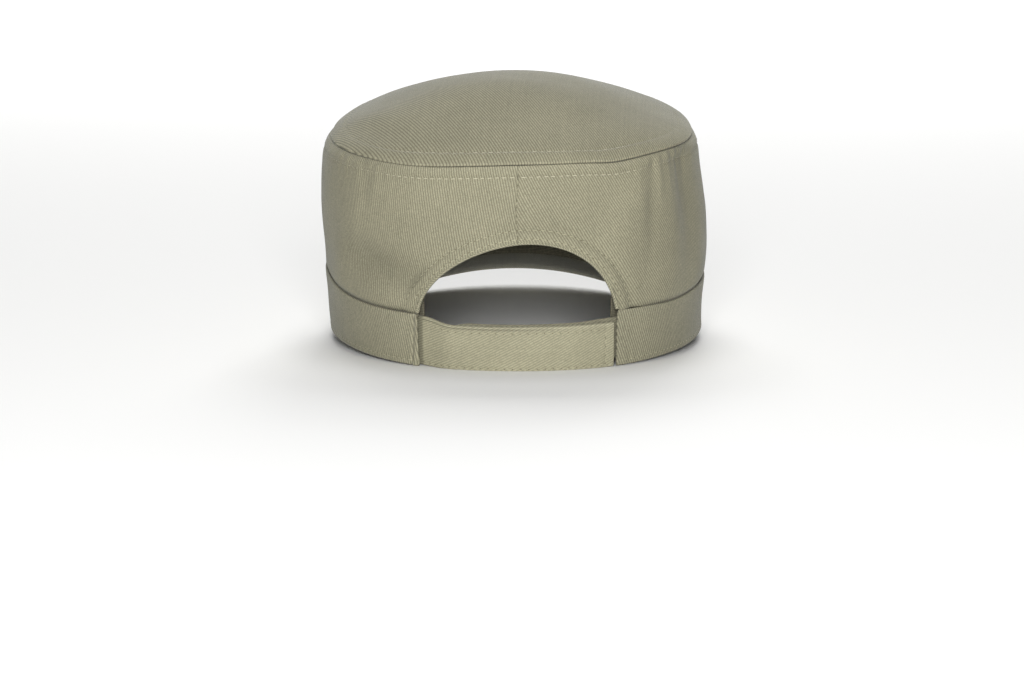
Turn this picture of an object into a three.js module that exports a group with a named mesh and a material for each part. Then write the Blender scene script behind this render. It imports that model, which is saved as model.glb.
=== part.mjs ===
import * as THREE from 'three';

// Army cap in soft twill. Millimetres and degrees, +Z up, the peak towards -Y,
// the arched back opening towards +Y, the wearer's left towards +X.
// It stands as it would by itself: on the back of its rim and on the two lobes of its peak.

// Outline of the cloth at the rim and at the top seam, seen from above.
// back and front are measured from the cap's middle, fullness is the power of the oval.
const rim = { back: 96.6, front: 109, centreY: -5, fullness: 2.05 };
const topSeam = { back: 94.1, front: 104, centreY: 14.6, fullness: 2.25 };

// Half widths of the side wall by level, from 0 at the rim to 1 at the top seam.
const wallWidths = [
  { level: 0.00, left: 84.1, right: 84.3 },
  { level: 0.12, left: 84.8, right: 84.1 },
  { level: 0.27, left: 85.4, right: 84.6 },
  { level: 0.42, left: 85.7, right: 85.8 },
  { level: 0.57, left: 86.3, right: 85.2 },
  { level: 0.72, left: 86.5, right: 83.4 },
  { level: 0.86, left: 86.2, right: 81.3 },
  { level: 0.95, left: 84.9, right: 80.0 },
  { level: 1.00, left: 81.6, right: 77.7 },
];

// Heights above the rim
const crownHeight = { back: 88, frontSlope: 0.03, sideSlope: -0.01, dome: 24.2, domeLean: 0.1 };
const bandHeight = { ends: 23.6, sides: 26.8 };
const frontArch = { rise: 15, halfAngle: 72 };

// Back opening: half an oval on each side of its apex, standing on the upright ends of the band
const opening = {
  apexX: -5,
  apexHeight: 54.7,
  left: { reach: 46.7, footHeight: 22, fullness: 1.8 },
  right: { reach: 38.2, footHeight: 17, fullness: 2.15 },
};
const backSeamX = -0.4;

// How finely each piece is drawn: spans along it, and the fan of the wall's columns over the arch
const spans = {
  crown: 60,
  arch: 20,
  wall: 20,
  band: 60,
  binding: 16,
  strap: 26,
  hookTape: 10,
  sweatband: 64,
  peak: 36,
};
const archFan = { halfAngle: 40, minimumStep: 0.5 };
const angleHalvings = 40;
const slopeStep = 0.001;

// Where rows of points lie across each piece, as shares of its height or width, closer together
// where it bends
const shares = {
  crownRings: [1, 0.985, 0.95, 0.89, 0.8, 0.68, 0.54, 0.4, 0.26, 0.13],
  wallRows: [0, 0.12, 0.27, 0.43, 0.58, 0.72, 0.83, 0.91, 0.97, 1],
  bandRows: [0, 0.33, 0.67, 1],
  bindingRows: [0, 0.25, 0.75, 1],
  strapRows: [0, 0.5, 1],
  sweatbandRows: [0, 0.5, 1],
  hookTapeRows: [0, 1],
  peakRows: [0, 0.08, 0.2, 0.4, 0.6, 0.8, 1],
};

// Cloth and layers
const gap = 0.3;
const wallThickness = 1.5;
const bandThickness = 1.8;
const crownThickness = 1.4;
const crownRollFrom = 0.86;
const binding = { width: 2, proud: 0.4, thickness: 2.3 };
const sweat = { bottom: 1.5, top: 30, thickness: 1, showsPast: 1.8, stepFrom: 54, stepTo: 64 };
const layerGap = 0.5;

// Straps. Each runs from its tucked end, sewn in under the band, to its free end, and steps in
// under the band between the two x of strapStep. tuckedLift is how much the tucked end fans out.
const outerStrap = { tuckedX: 53, freeX: -42, bottom: 0, top: 19.7, tuckedLift: 2, thickness: 2, proud: 0.3 };
const innerStrap = { tuckedX: -53, freeX: 34, bottom: 2.5, top: 20.2, tuckedLift: 0.8, thickness: 1.5 };
const strapStep = { from: 34, to: 41.7 };
const hookTape = { leftX: 26, rightX: -28, bottom: 3.5, top: 17.5, thickness: 1.2 };

// Peak
const peak = {
  halfWidth: 77.5,
  reach: 62,
  tipY: -42,
  fullness: 2.1,
  slope: 0.325,
  thickness: 3,
  tipThickness: 1.2,
  taperFrom: 0.8,
  root: 4.5,
  rootHalfAngle: 66,
  rimGap: 0.5,
};

// How the cap stands. The soft back of the rim gives under the cap's weight and lies flat.
const stand = { pitch: 3.78, backGives: 0.8 };
const middle = { x: 0.37, y: -35.7 };

const cloth = new THREE.Color('#9d9a86');
const clothDark = new THREE.Color('#7f7d6c');
const tapeDark = new THREE.Color('#4b4a42');

const radians = THREE.MathUtils.degToRad;
const mix = THREE.MathUtils.lerp;
const ease = THREE.MathUtils.smoothstep;

// Smooth reading of one column of a table, between its rows
function readTable(rows, key, column, at) {
  const last = rows.length - 1;
  const low = Math.min(last - 1, Math.max(0, rows.findLastIndex((row) => row[key] <= at)));
  const slopeAt = (row) => {
    const before = rows[Math.max(0, row - 1)];
    const after = rows[Math.min(last, row + 1)];
    return (after[column] - before[column]) / (after[key] - before[key]);
  };
  const span = rows[low + 1][key] - rows[low][key];
  const t = (at - rows[low][key]) / span;
  const startWeight = (1 + 2 * t) * (1 - t) ** 2;
  const endWeight = t ** 2 * (3 - 2 * t);
  return startWeight * rows[low][column] + endWeight * rows[low + 1][column]
    + span * (t * (1 - t) ** 2 * slopeAt(low) - t ** 2 * (1 - t) * slopeAt(low + 1));
}

// Plan point of the cloth at an angle from the back's middle and a level
function planPoint(angle, level) {
  const side = Math.sin(angle);
  const back = Math.cos(angle);
  const wide = readTable(wallWidths, 'level', side > 0 ? 'left' : 'right', level);
  const centreY = mix(rim.centreY, topSeam.centreY, level);
  const backReach = mix(rim.back, topSeam.back, level) - centreY;
  const frontReach = mix(rim.front, topSeam.front, level) + centreY;
  const long = back > 0 ? backReach : frontReach;
  const power = mix(rim.fullness, topSeam.fullness, level);
  const radius = (Math.abs(side / wide) ** power + Math.abs(back / long) ** power) ** (-1 / power);
  return { x: radius * side, y: centreY + radius * back };
}

function seamPlane(x, y) {
  return crownHeight.back + crownHeight.frontSlope * (topSeam.back - y) + crownHeight.sideSlope * x;
}

function seamHeight(angle) {
  const plan = planPoint(angle, 1);
  return seamPlane(plan.x, plan.y);
}

// The peak's curve lifts the front of the rim
function archRise(angle) {
  const fromFront = Math.PI - Math.abs(angle);
  const share = Math.min(1, fromFront / radians(frontArch.halfAngle));
  return frontArch.rise * Math.cos(share * Math.PI / 2) ** 2;
}

function skin(angle, level) {
  const plan = planPoint(angle, level);
  const z = level * seamHeight(angle) + archRise(angle) * (1 - level ** 2);
  return new THREE.Vector3(plan.x, plan.y, z);
}

// A point under the cloth's outer face, at a height above the rim and a depth inwards
function underSkin(angle, height, depth) {
  const level = height / seamHeight(angle);
  const low = Math.min(level, 1 - slopeStep);
  const along = skin(angle + slopeStep, low).sub(skin(angle - slopeStep, low));
  const up = skin(angle, low + slopeStep).sub(skin(angle, low));
  const inwards = along.cross(up).normalize();
  return skin(angle, level).addScaledVector(inwards, depth);
}

// Angle at which the back of the cloth passes an x, at a height above the rim
function angleAt(x, height) {
  let low = -Math.PI / 2;
  let high = Math.PI / 2;
  for (let halvings = 0; halvings < angleHalvings; halvings += 1) {
    const halfway = (low + high) / 2;
    const reached = planPoint(halfway, height / seamHeight(halfway)).x;
    if (reached < x) low = halfway;
    else high = halfway;
  }
  return (low + high) / 2;
}

// The pose at rest: the cap leans back, and what would go into the surface lies flat on it
function atRest(point) {
  const pitch = radians(stand.pitch);
  const drop = rim.back * Math.sin(pitch) - stand.backGives;
  const y = point.y * Math.cos(pitch) + point.z * Math.sin(pitch);
  const z = point.z * Math.cos(pitch) - point.y * Math.sin(pitch) + drop;
  return new THREE.Vector3(point.x - middle.x, y - middle.y, Math.max(0, z));
}

function steps(from, to, count) {
  return Array.from({ length: count + 1 }, (_, k) => mix(from, to, k / count));
}

function signedVolume(positions, faces) {
  let total = 0;
  for (const [a, b, c] of faces) {
    total += positions[a].dot(new THREE.Vector3().crossVectors(positions[b], positions[c]));
  }
  return total / 6;
}

function solid(name, color, positions, faces) {
  const outwards = signedVolume(positions, faces) > 0;
  const ordered = outwards ? faces : faces.map(([a, b, c]) => [a, c, b]);
  const geometry = new THREE.BufferGeometry();
  const coordinates = positions.flatMap((point) => [point.x, point.y, point.z]);
  geometry.setAttribute('position', new THREE.Float32BufferAttribute(coordinates, 3));
  geometry.setIndex(ordered.flat());
  geometry.computeVertexNormals();
  const material = new THREE.MeshStandardMaterial({ color, roughness: 0.92, metalness: 0 });
  const mesh = new THREE.Mesh(geometry, material);
  mesh.name = name;
  return mesh;
}

// A closed wall between two faces, each a grid of points over columns and rows
function clothWall(name, color, columns, rows, outerFace, innerFace) {
  const wide = columns.length;
  const tall = rows.length;
  const positions = [];
  for (const face of [outerFace, innerFace]) {
    for (const column of columns) {
      for (const row of rows) positions.push(atRest(face(column, row)));
    }
  }
  const at = (side, i, j) => side * wide * tall + i * tall + j;
  const faces = [];
  const quad = (a, b, c, d) => faces.push([a, b, c], [a, c, d]);
  for (let i = 0; i < wide - 1; i += 1) {
    for (let j = 0; j < tall - 1; j += 1) {
      quad(at(0, i, j), at(0, i + 1, j), at(0, i + 1, j + 1), at(0, i, j + 1));
      quad(at(1, i, j), at(1, i, j + 1), at(1, i + 1, j + 1), at(1, i + 1, j));
    }
    quad(at(0, i, 0), at(1, i, 0), at(1, i + 1, 0), at(0, i + 1, 0));
    quad(at(0, i, tall - 1), at(0, i + 1, tall - 1), at(1, i + 1, tall - 1), at(1, i, tall - 1));
  }
  for (let j = 0; j < tall - 1; j += 1) {
    quad(at(0, 0, j), at(0, 0, j + 1), at(1, 0, j + 1), at(1, 0, j));
    quad(at(0, wide - 1, j), at(1, wide - 1, j), at(1, wide - 1, j + 1), at(0, wide - 1, j + 1));
  }
  return solid(name, color, positions, faces);
}

// Top panel: a dome over the oval of the top seam, drawn as rings round its middle
function makeCrownTop() {
  const spokes = spans.crown;
  const rings = shares.crownRings;
  const positions = [];
  const domePoint = (angle, ring, depth) => {
    const edge = planPoint(angle, 1);
    const x = edge.x * ring;
    const y = mix(topSeam.centreY, edge.y, ring);
    const lean = 1 + crownHeight.domeLean * x / wallWidths[0].left;
    const dome = crownHeight.dome * (1 - ring ** 2) * lean;
    const edgeRoll = crownThickness * ease(ring, crownRollFrom, 1);
    const z = seamPlane(x, y) + gap / 2 + dome + edgeRoll - depth;
    return atRest(new THREE.Vector3(x, y, z));
  };
  for (const depth of [0, crownThickness]) {
    for (const ring of rings) {
      for (let k = 0; k < spokes; k += 1) positions.push(domePoint(2 * Math.PI * k / spokes, ring, depth));
    }
  }
  const topPole = positions.length;
  positions.push(domePoint(0, 0, 0), domePoint(0, 0, crownThickness));
  const at = (side, ring, k) => (side * rings.length + ring) * spokes + (k % spokes);
  const faces = [];
  for (let k = 0; k < spokes; k += 1) {
    for (let r = 0; r < rings.length - 1; r += 1) {
      faces.push([at(0, r, k), at(0, r, k + 1), at(0, r + 1, k + 1)]);
      faces.push([at(0, r, k), at(0, r + 1, k + 1), at(0, r + 1, k)]);
      faces.push([at(1, r, k), at(1, r + 1, k + 1), at(1, r, k + 1)]);
      faces.push([at(1, r, k), at(1, r + 1, k), at(1, r + 1, k + 1)]);
    }
    const inmost = rings.length - 1;
    faces.push([at(0, inmost, k), at(0, inmost, k + 1), topPole]);
    faces.push([at(1, inmost, k), topPole + 1, at(1, inmost, k + 1)]);
    faces.push([at(0, 0, k), at(1, 0, k), at(1, 0, k + 1)]);
    faces.push([at(0, 0, k), at(1, 0, k + 1), at(0, 0, k + 1)]);
  }
  return solid('crown_top', cloth, positions, faces);
}

// Height of the seam between band and wall
function bandSeam(angle) {
  return mix(bandHeight.ends, bandHeight.sides, Math.sin(angle) ** 4);
}

// One half of the opening's edge, moved outwards into the cloth.
// turn goes from 0 at the apex to 90 degrees at the foot, and side is 1 on the left.
function archPoint(side, turn, outwards) {
  const half = side > 0 ? opening.left : opening.right;
  const across = Math.sin(turn) ** (2 / half.fullness);
  const up = Math.max(0, Math.cos(turn)) ** (2 / half.fullness);
  return {
    x: opening.apexX + side * (half.reach + outwards) * across,
    height: half.footHeight + (opening.apexHeight - half.footHeight + outwards) * up,
  };
}

// Height of the opening's edge over an x, moved outwards into the cloth
function archHeight(x, outwards) {
  const half = x > opening.apexX ? opening.left : opening.right;
  const across = Math.min(1, Math.abs(x - opening.apexX) / (half.reach + outwards));
  const up = (1 - across ** half.fullness) ** (1 / half.fullness);
  return half.footHeight + (opening.apexHeight - half.footHeight + outwards) * up;
}

// The turn at which the opening's edge comes down to the band
function bandTurn(side) {
  const half = side > 0 ? opening.left : opening.right;
  const up = (bandHeight.ends + gap - half.footHeight) / (opening.apexHeight - half.footHeight);
  return Math.acos(up ** (half.fullness / 2));
}

// x of the band's upright end
function openingEdgeX(side) {
  return archPoint(side, Math.PI / 2, 0).x;
}

// Side wall panels. Columns start at the centre-back seam, follow the arch to its foot
// and then go round to the centre front, where the two panels meet plainly.
function makeWall(name, side) {
  const edge = binding.width + gap;
  const seamX = backSeamX + side * gap / 2;
  const alongArch = [
    ...steps(Math.PI / 2, 0, spans.arch).map((turn) => archPoint(-side, turn, edge)),
    ...steps(0, Math.PI / 2, spans.arch).map((turn) => archPoint(side, turn, edge)),
  ];
  const pastSeam = alongArch.filter((point) => side * (point.x - seamX) > archFan.minimumStep);
  const lowEdge = [{ x: seamX, height: archHeight(seamX, edge) }, ...pastSeam];
  const columns = lowEdge.map((point) => {
    const lowAngle = angleAt(point.x, point.height);
    return { lowAngle, low: Math.max(point.height, bandSeam(lowAngle) + gap / 2) };
  });
  const backCount = columns.length - 1;
  const footAngle = columns[backCount].lowAngle;
  const frontAngle = side * (Math.PI - gap / 2 / topSeam.front);
  for (const lowAngle of steps(footAngle, frontAngle, spans.wall).slice(1)) {
    columns.push({ lowAngle, low: bandSeam(lowAngle) + gap / 2 });
  }
  const startAngle = angleAt(seamX, crownHeight.back);
  const spreadTo = side * radians(archFan.halfAngle);
  columns.forEach((column, k) => {
    const past = Math.max(0, k - backCount) / spans.wall;
    const onArch = Math.min(1, k / backCount);
    column.topAngle = mix(mix(startAngle, spreadTo, onArch), frontAngle, past);
  });
  const face = (depth) => (column, row) => {
    const angle = mix(column.lowAngle, column.topAngle, row);
    const high = seamHeight(angle) - gap / 2;
    return underSkin(angle, mix(column.low, high, row), depth);
  };
  return clothWall(name, cloth, columns, shares.wallRows, face(0), face(wallThickness));
}

// Angle at a share of the way round the front, from one end of the opening to the other, at a height
function roundFront(share, height, outwards) {
  const start = angleAt(openingEdgeX(1) + outwards, height);
  const end = angleAt(openingEdgeX(-1) - outwards, height) + 2 * Math.PI;
  const turn = mix(start, end, share);
  return turn > Math.PI ? turn - 2 * Math.PI : turn;
}

// Band: round the front from one end of the opening to the other
function makeBand() {
  const face = (depth) => (share, row) => {
    const angle = roundFront(share, row * bandHeight.ends, 0);
    return underSkin(angle, row * (bandSeam(angle) - gap / 2), depth);
  };
  return clothWall('band', cloth, steps(0, 1, spans.band), shares.bandRows, face(0), face(bandThickness));
}

// Rolled edge of the opening, over the arch from one end of the band to the other
function makeOpeningBinding() {
  const path = [
    ...steps(bandTurn(1), 0, spans.binding).slice(0, -1).map((turn) => ({ side: 1, turn })),
    ...steps(0, bandTurn(-1), spans.binding).map((turn) => ({ side: -1, turn })),
  ];
  const face = (depthAt) => (place, share) => {
    const point = archPoint(place.side, place.turn, share * binding.width);
    return underSkin(angleAt(point.x, point.height), point.height, depthAt(share));
  };
  const roll = (share) => -binding.proud * Math.sin(share * Math.PI);
  const inside = () => binding.thickness - binding.proud;
  return clothWall('opening_binding', cloth, path, shares.bindingRows, face(roll), face(inside));
}

// Depth of a strap's outer face: level with the cloth in its free part, tucked under the band at its end
function strapDepth(x, side, freeDepth, tuckDepth) {
  return mix(freeDepth, tuckDepth, ease(side * x, strapStep.from, strapStep.to));
}

function makeStrap(name, strap, side, freeDepth) {
  const tuckDepth = bandThickness + layerGap;
  const columns = steps(strap.tuckedX, strap.freeX, spans.strap);
  const face = (extra) => (x, row) => {
    const top = strap.top + strap.tuckedLift * ease(side * x, strapStep.from, strapStep.to);
    const height = mix(strap.bottom, top, row);
    return underSkin(angleAt(x, height), height, strapDepth(x, side, freeDepth, tuckDepth) + extra);
  };
  return clothWall(name, cloth, columns, shares.strapRows, face(0), face(strap.thickness));
}

const hookDepth = outerStrap.thickness - outerStrap.proud + gap;

function makeHookAndLoop() {
  const columns = steps(hookTape.leftX, hookTape.rightX, spans.hookTape);
  const face = (depth) => (x, row) => {
    const height = mix(hookTape.bottom, hookTape.top, row);
    return underSkin(angleAt(x, height), height, depth);
  };
  const innerDepth = hookDepth + hookTape.thickness;
  const rows = shares.hookTapeRows;
  return clothWall('hook_and_loop', tapeDark, columns, rows, face(hookDepth), face(innerDepth));
}

// Sweatband: inside the band, stepping in behind the sewn ends of the straps
function makeSweatband() {
  const shallow = bandThickness + gap;
  const deep = bandThickness + layerGap + outerStrap.thickness + gap;
  const face = (extra) => (share, row) => {
    const height = mix(sweat.bottom, sweat.top, row);
    const angle = roundFront(share, height, -sweat.showsPast);
    const across = Math.cos(angle) > 0 ? Math.abs(planPoint(angle, 0).x) : sweat.stepTo;
    const depth = mix(deep, shallow, ease(across, sweat.stepFrom, sweat.stepTo));
    return underSkin(angle, height, depth + extra);
  };
  const columns = steps(0, 1, spans.sweatband);
  return clothWall('sweatband', clothDark, columns, shares.sweatbandRows, face(0), face(sweat.thickness));
}

// Peak: one bent sheet whose straight lines run forward and down from the front of the rim
function makePeak() {
  const long = rim.front + rim.centreY;
  const rimY = (x) => {
    const wide = wallWidths[0].left;
    return rim.centreY - long * Math.max(0, 1 - Math.abs(x / wide) ** rim.fullness) ** (1 / rim.fullness);
  };
  const topZ = (x, y) => {
    const angle = Math.atan2(x, Math.max(y, rimY(x)) - rim.centreY);
    const forward = Math.max(0, rimY(x) - y);
    return archRise(angle) - peak.rimGap - peak.slope * forward;
  };
  const outerEdge = (share) => {
    const turn = share * Math.PI / 2;
    const across = Math.abs(Math.sin(turn)) ** (2 / peak.fullness) * Math.sign(turn);
    const ahead = Math.max(0, Math.cos(turn)) ** (2 / peak.fullness);
    const tipReach = rim.front + peak.reach + peak.tipY;
    return { x: peak.halfWidth * across, y: peak.tipY - tipReach * ahead };
  };
  const innerEdge = (share) => {
    const fromFront = share * radians(peak.rootHalfAngle);
    const plan = planPoint(fromFront < 0 ? -Math.PI - fromFront : Math.PI - fromFront, 0);
    const inset = 1 - peak.root / Math.hypot(plan.x, plan.y);
    return { x: plan.x * inset, y: plan.y * inset };
  };
  const face = (under) => (share, row) => {
    const from = innerEdge(share);
    const to = outerEdge(share);
    const x = mix(from.x, to.x, row);
    const y = mix(from.y, to.y, row);
    const thickness = mix(peak.thickness, peak.tipThickness, ease(Math.abs(share), peak.taperFrom, 1));
    return new THREE.Vector3(x, y, topZ(x, y) - under * thickness);
  };
  return clothWall('peak', cloth, steps(-1, 1, spans.peak), shares.peakRows, face(0), face(1));
}

const armyCap = new THREE.Group();
armyCap.add(
  makeCrownTop(),
  makeWall('wall_left', 1),
  makeWall('wall_right', -1),
  makeBand(),
  makeOpeningBinding(),
  makeStrap('strap_outer', outerStrap, 1, -outerStrap.proud),
  makeStrap('strap_inner', innerStrap, -1, hookDepth + hookTape.thickness + gap),
  makeHookAndLoop(),
  makeSweatband(),
  makePeak(),
);

export default armyCap;
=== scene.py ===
import math

import bpy
import numpy as np
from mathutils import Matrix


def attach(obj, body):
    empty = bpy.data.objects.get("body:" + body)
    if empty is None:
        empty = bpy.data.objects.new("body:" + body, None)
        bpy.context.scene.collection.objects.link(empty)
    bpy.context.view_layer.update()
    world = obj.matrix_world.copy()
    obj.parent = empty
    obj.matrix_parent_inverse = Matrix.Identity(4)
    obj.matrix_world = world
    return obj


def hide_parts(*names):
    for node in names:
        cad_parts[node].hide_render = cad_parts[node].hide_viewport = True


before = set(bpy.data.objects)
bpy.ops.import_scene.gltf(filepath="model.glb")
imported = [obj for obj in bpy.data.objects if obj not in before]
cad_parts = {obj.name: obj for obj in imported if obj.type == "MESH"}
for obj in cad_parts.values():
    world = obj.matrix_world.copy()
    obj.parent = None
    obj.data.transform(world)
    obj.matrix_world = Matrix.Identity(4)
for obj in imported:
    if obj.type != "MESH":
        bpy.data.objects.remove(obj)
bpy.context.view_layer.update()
bpy.ops.object.select_all(action="DESELECT")
print("frame loaded:", len(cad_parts), "nodes")

mm = 0.001
bodyName = "root"

# Camera: behind the cap and a little above it, a long lens far away
photoCamera = {
    "lens": 101.1,
    "at": (-0.0004, 1.3298, 0.2019),
    "lookDown": 8.965,     # degrees under the horizon
    "turn": 0.083,         # degrees towards the wearer's left
    "clipEnd": 40,
}


def placeCamera():
    bpy.ops.object.camera_add(location=photoCamera["at"])
    camera = bpy.context.object
    camera.name = "photoCamera"
    pitch = math.radians(90 - photoCamera["lookDown"])
    camera.rotation_euler = (pitch, 0, math.radians(180 + photoCamera["turn"]))
    camera.data.lens = photoCamera["lens"]
    camera.data.clip_end = photoCamera["clipEnd"]
    bpy.context.scene.camera = camera


# Studio: pale floor, a soft box by the camera, weaker ones over the cap, over the floor and before the peak
studio = {
    "floorSize": 24,
    "floorColor": "#f2f2f1",
    "grainScale": 300,
    "grainHeight": 0.0002,
    "skyColor": "#ffffff",
    "skyStrength": 0.03,
    "viewTransform": "Standard",    # the photo's white stays white, with no roll-off in the cloth's tones
    "boxes": [
        {"name": "boxBack", "at": (0, 1.75, 0.45), "aimAt": (0, 0, 0.06), "size": 0.5, "watts": 34},
        {"name": "boxAbove", "at": (0, -0.1, 3), "aimAt": (0, -0.1, 0), "size": 1.6, "watts": 32},
        {"name": "boxFloor", "at": (0, -3.2, 3), "aimAt": (0, -3.2, 0), "size": 3, "watts": 122},
        {"name": "boxFront", "at": (-0.9, -5.2, 2.8), "aimAt": (0, 0, 0.06), "size": 2, "watts": 84},
    ],
}


def toLinear(hexColor):
    channels = [int(hexColor[i:i + 2], 16) / 255 for i in (1, 3, 5)]
    return (*[c / 12.92 if c <= 0.04045 else ((c + 0.055) / 1.055) ** 2.4 for c in channels], 1)


def addNode(material, kind, inputs=None, **settings):    # an input is a value or another node's output
    tree = material.node_tree
    node = tree.nodes.new("ShaderNode" + kind)
    for name, value in settings.items():
        setattr(node, name, value)
    for socket, value in (inputs or {}).items():
        if isinstance(value, bpy.types.NodeSocket):
            tree.links.new(value, node.inputs[socket])
        else:
            node.inputs[socket].default_value = value
    return node


def newMaterial(name):
    material = bpy.data.materials.new(name)
    material.use_nodes = True
    material.node_tree.nodes.clear()
    return material


def finishMaterial(material, shader):
    addNode(material, "OutputMaterial", {"Surface": shader.outputs[0]})
    return material


def buildStudio():
    floorPaper = newMaterial("mattBackgroundPaper")    # even and matt, so that only soft shadow shows
    grain = addNode(floorPaper, "TexNoise", {"Scale": studio["grainScale"], "Detail": 2})
    bump = addNode(floorPaper, "Bump", {
        "Height": grain.outputs[0],
        "Strength": 0.1,
        "Distance": studio["grainHeight"],
    })
    paper = addNode(floorPaper, "BsdfPrincipled", {
        "Base Color": toLinear(studio["floorColor"]),
        "Roughness": 0.95,
        "Specular IOR Level": 0.1,
        "Normal": bump.outputs[0],
    })
    finishMaterial(floorPaper, paper)

    bpy.ops.mesh.primitive_plane_add(size=studio["floorSize"])
    floor = bpy.context.object
    floor.name = "studioFloor"
    floor.data.materials.append(floorPaper)

    world = bpy.data.worlds.new("studioSky")
    world.use_nodes = True
    sky = world.node_tree.nodes["Background"]
    sky.inputs["Color"].default_value = toLinear(studio["skyColor"])
    sky.inputs["Strength"].default_value = studio["skyStrength"]
    bpy.context.scene.world = world
    bpy.context.scene.view_settings.view_transform = studio["viewTransform"]

    for box in studio["boxes"]:
        bpy.ops.object.light_add(type="AREA", location=box["at"])
        light = bpy.context.object
        light.name = box["name"]
        light.data.size = box["size"]
        light.data.energy = box["watts"]
        away = light.location - type(light.location)(box["aimAt"])
        light.rotation_euler = away.to_track_quat("Z", "Y").to_euler()


placeCamera()
buildStudio()
print("camera and studio ready")

# The cap's form before it stands on its back, in millimetres and degrees: rim at height 0, peak towards -Y,
# wearer's left towards +X. back and front are reaches from the middle, fullness is the power of the oval.
rim = {"back": 96.6, "front": 109, "centreY": -5, "fullness": 2.05}
topSeam = {"back": 94.1, "front": 104, "centreY": 14.6, "fullness": 2.25}
wallWidths = [
    {"level": 0.00, "left": 84.1, "right": 84.3},
    {"level": 0.12, "left": 84.8, "right": 84.1},
    {"level": 0.27, "left": 85.4, "right": 84.6},
    {"level": 0.42, "left": 85.7, "right": 85.8},
    {"level": 0.57, "left": 86.3, "right": 85.2},
    {"level": 0.72, "left": 86.5, "right": 83.4},
    {"level": 0.86, "left": 86.2, "right": 81.3},
    {"level": 0.95, "left": 84.9, "right": 80.0},
    {"level": 1.00, "left": 81.6, "right": 77.7},
]
crownHeight = {
    "back": 88,
    "frontSlope": 0.03,        # the seam's rise towards the front and to the left
    "sideSlope": -0.01,
    "dome": 24.2,
    "domeLean": 0.1,           # share by which the dome is higher on the left
    "middleLift": 0.15,        # mm by which the panel lies over the seam's plane in the middle
    "edgeLift": 1.55,          # and at its edge
    "edgeFrom": 0.6,
}
# Where the top seam sags at the back, and where it is pulled up. All of it fades in from front to back.
sagsFadeIn = {"from": -20, "to": 30}
seamSags = [
    {"x": 44, "wide": 28, "drop": 1.5},
    {"x": -41, "wide": 9, "drop": 0.9},
    {"x": -64, "wide": 9, "drop": -0.45},
]
bandHeight = {
    "leftEnd": 23.1, "leftSide": 29.8, "rightEnd": 24.6, "rightSide": 25.8, "front": 23.6,
    "power": 7,                # the higher, the closer to the sides the height changes
}
bandDip = {"x": -70, "wide": 10, "depth": 1.0, "from": -10, "to": 20}
bandLevel = 0.27               # share of the wall's height that the band covers
frontArch = {"rise": 15, "halfAngle": 72}
opening = {
    "apexX": -5,
    "apexHeight": 54.7,
    "left": {"reach": 46.7, "footHeight": 22, "fullness": 1.8},
    "right": {"reach": 38.2, "footHeight": 17, "fullness": 2.15},
    "searched": (-3, 90),      # mm from the edge, from inside to outside
}
backSeamX = -0.4
stand = {"pitch": 3.78, "backGives": 0.8, "middleX": 0.37, "middleY": -35.7}
slopeStep = 0.001
farAway = 90.0                 # mm, for points that are nowhere near an edge
halvings = {"angle": 40, "distance": 24}


def mix(a, b, t):
    return a + (b - a) * t


def ease(low, high, x):
    t = np.clip((x - low) / (high - low), 0, 1)
    return t * t * (3 - 2 * t)


def line(x, at, width):    # 1 along a line at a distance, fading to 0 past its width
    return np.exp(-((x - at) / width) ** 2)


def streak(x, strength, at, width):    # the same line with a strength
    return strength * line(x, at, width)


def halve(shape, span, steps, isShort):    # finds by halving where in a span a test stops being true
    low = np.full(shape, float(span[0]))
    high = np.full(shape, float(span[1]))
    for step in range(steps):
        halfway = (low + high) / 2
        short = isShort(halfway)
        low = np.where(short, halfway, low)
        high = np.where(short, high, halfway)
    return (low + high) / 2


def dents(rows, x, y):    # soft hollows with a place, half lengths along and across, a turn and a depth
    total = 0
    for row in rows:
        turn = math.radians(row["turn"])
        along = (x - row["x"]) * math.cos(turn) + (y - row["y"]) * math.sin(turn)
        across = (y - row["y"]) * math.cos(turn) - (x - row["x"]) * math.sin(turn)
        total = total + row["depth"] * line(along, 0, row["long"]) * line(across, 0, row["wide"])
    return total


def closerAtEnds(share, pull):
    return share - pull * np.sin(2 * np.pi * share) / (2 * np.pi)


def readWidth(side, level):
    at = np.array([row["level"] for row in wallWidths])
    width = np.array([row[side] for row in wallWidths])
    rows = np.arange(len(at))
    before = np.maximum(rows - 1, 0)
    after = np.minimum(rows + 1, len(at) - 1)
    slope = (width[after] - width[before]) / (at[after] - at[before])
    low = np.clip(np.searchsorted(at, level, side="right") - 1, 0, len(at) - 2)
    span = at[low + 1] - at[low]
    t = (level - at[low]) / span
    startSlope = t * (1 - t) ** 2 * slope[low]
    endSlope = t * t * (1 - t) * slope[low + 1]
    return mix(width[low], width[low + 1], t * t * (3 - 2 * t)) + span * (startSlope - endSlope)


def planPoint(angle, level):
    across = np.sin(angle)
    back = np.cos(angle)
    wide = np.where(across > 0, readWidth("left", level), readWidth("right", level))
    centreY = mix(rim["centreY"], topSeam["centreY"], level)
    backReach = mix(rim["back"], topSeam["back"], level) - centreY
    frontReach = mix(rim["front"], topSeam["front"], level) + centreY
    long = np.where(back > 0, backReach, frontReach)
    power = mix(rim["fullness"], topSeam["fullness"], level)
    reach = (np.abs(across / wide) ** power + np.abs(back / long) ** power) ** (-1 / power)
    return reach * across, centreY + reach * back


def seamPlane(x, y):
    rise = crownHeight["frontSlope"] * (topSeam["back"] - y) + crownHeight["sideSlope"] * x
    return crownHeight["back"] + rise


def seamSag(angle):
    x, y = planPoint(angle, 1.0)
    total = sum(sag["drop"] * line(x, sag["x"], sag["wide"]) for sag in seamSags)
    return total * ease(sagsFadeIn["from"], sagsFadeIn["to"], y)


def seamHeight(angle):
    return seamPlane(*planPoint(angle, 1.0)) - seamSag(angle)


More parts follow.
